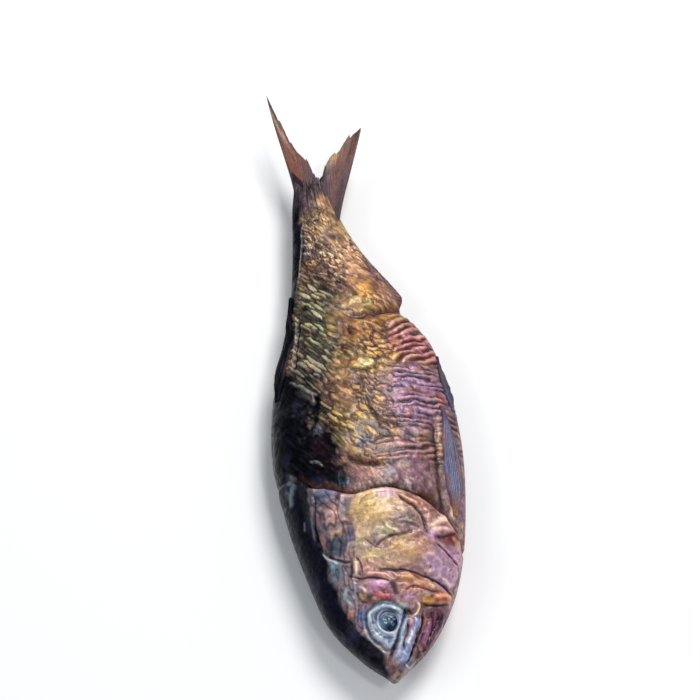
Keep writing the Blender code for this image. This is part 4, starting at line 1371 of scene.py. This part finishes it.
def smoked_material(name, valley, crest, gloss, metal, bumps, coat):
    """Cured skin, mottled and rough by turns: each point's tint, darker in the folds and paler on the crests.

    valley and crest are what they multiply the tint by, as painted shade in the folds and painted highlights
    on the crests, partly the skin's own darker folds and paler crests. gloss is the range of roughness. metal
    and coat are how metallic and how oily the skin is away from the soot. bumps is how deep its fine relief
    is in metres.
    """
    material = bpy.data.materials.new(name)
    material.use_nodes = True
    tree = material.node_tree
    shader = tree.nodes["Principled BSDF"]
    place = add_node(tree, "ShaderNodeTexCoord").outputs["Object"]
    tint = add_node(tree, "ShaderNodeAttribute", attribute_name="tint").outputs["Color"]
    height = add_node(tree, "ShaderNodeAttribute", attribute_name="crest").outputs["Fac"]

    def grain(scale, detail=3.0, rough=0.6):
        inputs = {"Vector": place, "Scale": scale, "Detail": detail, "Roughness": rough}
        return add_node(tree, "ShaderNodeTexNoise", inputs).outputs["Fac"]

    def maths(operation, *values):
        return add_node(tree, "ShaderNodeMath", dict(enumerate(values)), operation=operation).outputs["Value"]

    def ranged(value, start, end, first, last):
        inputs = {"Value": value, "From Min": start, "From Max": end, "To Min": first, "To Max": last}
        return add_node(tree, "ShaderNodeMapRange", inputs).outputs["Result"]

    coarse, fine, speck = grain(420), grain(1300), grain(3200, 1.0)
    level = height
    for pattern, amount in ((fine, 0.45), (coarse, 0.35)):
        level = maths("ADD", level, maths("MULTIPLY", maths("SUBTRACT", pattern, 0.5), amount))
    # Painted shade in the hollows and painted highlights on the crests, from the crest attribute and fine
    # noise.
    shade = ramp(tree, level, ((0.08, valley), (0.36, 0.62), (0.58, 0.86), (0.92, crest)))
    dirt = ramp(tree, grain(700, 4.0, 0.7), ((0.40, 0.0), (0.62, 1.0)))
    colour = multiplied(tree, multiplied(tree, tint, shade, 1.0), dirt, 0.30)
    rough = ranged(maths("ADD", coarse, maths("MULTIPLY", speck, 0.3)), 0.45, 0.85, *gloss)
    # Soot hardly shines: a dark tint is taken as metal, which mirrors no more than its own colour, and has
    # no oil on it.
    light = add_node(tree, "ShaderNodeRGBToBW", {"Color": tint}).outputs["Val"]
    dull = ranged(light, *SOOT_LIGHT, SOOT_METAL, metal)
    oily = ranged(light, *SOOT_LIGHT, 0.0, coat)
    pits = add_node(tree, "ShaderNodeBump", {"Height": fine, "Strength": 0.55, "Distance": bumps})
    inputs = {"Height": speck, "Strength": 0.35, "Distance": 0.4 * bumps, "Normal": pits.outputs["Normal"]}
    specks = add_node(tree, "ShaderNodeBump", inputs)
    for key, socket in {
        "Base Color": colour, "Roughness": rough, "Metallic": dull, "Coat Weight": oily,
        "Normal": specks.outputs["Normal"],
    }.items():
        tree.links.new(socket, shader.inputs[key])
    shader.inputs["Coat Roughness"].default_value = 0.18
    shader.inputs["Specular IOR Level"].default_value = 0.36
    return material


def plain_material(name, colour, roughness):
    """One colour all over."""
    material = bpy.data.materials.new(name)
    material.use_nodes = True
    shader = material.node_tree.nodes["Principled BSDF"]
    shader.inputs["Base Color"].default_value = (*colour, 1)
    shader.inputs["Roughness"].default_value = roughness
    return material


skin = smoked_material(
    "smoked_skin", valley=(0.22, 0.14, 0.18), crest=(1.48, 1.43, 1.36), gloss=(0.27, 0.54),
    metal=0.12, bumps=0.00018, coat=0.22,
)
membrane = smoked_material(
    "dried_fin", valley=(0.50, 0.44, 0.46), crest=(1.35, 1.28, 1.20), gloss=(0.42, 0.68),
    metal=0.05, bumps=0.00010, coat=0.08,
)
eyeball = smoked_material(
    "dried_eye", valley=(0.60, 0.60, 0.64), crest=(1.25, 1.25, 1.25), gloss=(0.22, 0.42),
    metal=0.05, bumps=0.00006, coat=0.40,
)

make_head(skin)
make_trunk(skin)
for eye, up in (("eye", 1), ("eye_under", -1)):
    make_eye(eye, up, eyeball)
for lobe in TAIL_LOBES:
    make_tail_lobe(lobe, membrane)
for fin in LAID_FINS:
    for up in (1, -1):
        if up > 0 or fin != "back_fin":
            make_laid_fin(fin, up, membrane)
make_anal_fin(membrane)

# ---- Floor, light and camera ----

FLOOR_REACH = 3.0
FLOOR_COLOUR, FLOOR_ROUGHNESS = (0.93, 0.93, 0.93), 0.9
SKY_COLOUR, SKY_STRENGTH = (0.93, 0.96, 1.0), 0.38
# Lamps: azimuth and elevation in degrees, distance and size in metres, power in watts, and colour.
LAMPS = {
    "key": (140, 60, 1.1, 0.50, 8.5, (1, 1, 1)),
    "fill": (-70, 45, 1.2, 0.60, 2.5, (0.86, 0.92, 1.0)),
    "glint": (30, 62, 0.9, 0.12, 1.0, (1, 1, 1)),
}
VIEW_AZIMUTH, VIEW_ELEVATION, VIEW_ROLL = -9.6, 58.0, 1.6
VIEW_DISTANCE = 0.596
FIELD_OF_VIEW = 24.0
CENTRE = Vector((0.0, 0.005, 0.012))


def direction(azimuth, elevation):
    """Unit vector from the fish towards a place at this azimuth and elevation in degrees; azimuth 0 is -Y."""
    a, e = math.radians(azimuth), math.radians(elevation)
    return Vector((math.sin(a) * math.cos(e), -math.cos(a) * math.cos(e), math.sin(e)))


def add_floor():
    """The pale ground that the fish lies on."""
    mesh = bpy.data.meshes.new("floor")
    corners = [(x * FLOOR_REACH, y * FLOOR_REACH, 0) for x, y in ((-1, -1), (1, -1), (1, 1), (-1, 1))]
    mesh.from_pydata(corners, [], [(0, 1, 2, 3)])
    mesh.materials.append(plain_material("floor", FLOOR_COLOUR, FLOOR_ROUGHNESS))
    floor = add_object("floor", mesh)


def look_from(thing, towards, distance):
    """Stands a lamp or a camera off the fish and turns it to face the fish."""
    thing.location = CENTRE + distance * towards
    thing.rotation_euler = towards.to_track_quat("Z", "Y").to_euler()


def add_lamp(name, azimuth, elevation, distance, size, power, colour):
    """A round soft light."""
    lamp = bpy.data.lights.new(name, "AREA")
    lamp.shape, lamp.size = "DISK", size
    lamp.energy, lamp.color = power, colour
    look_from(add_object(name, lamp), direction(azimuth, elevation), distance)


def add_camera():
    """The view on the flank from above the head."""
    data = bpy.data.cameras.new("camera")
    data.angle = math.radians(FIELD_OF_VIEW)
    camera = add_object("camera", data)
    look_from(camera, direction(VIEW_AZIMUTH, VIEW_ELEVATION), VIEW_DISTANCE)
    camera.rotation_euler.rotate_axis("Z", math.radians(VIEW_ROLL))
    bpy.context.scene.camera = camera


def add_world():
    """Even light from all round."""
    world = bpy.data.worlds.new("studio")
    world.use_nodes = True
    background = world.node_tree.nodes["Background"]
    background.inputs["Color"].default_value = (*SKY_COLOUR, 1)
    background.inputs["Strength"].default_value = SKY_STRENGTH
    bpy.context.scene.world = world


add_floor()
add_world()
for name, lamp in LAMPS.items():
    add_lamp(name, *lamp)
add_camera()
bpy.context.scene.view_settings.view_transform = "Standard"
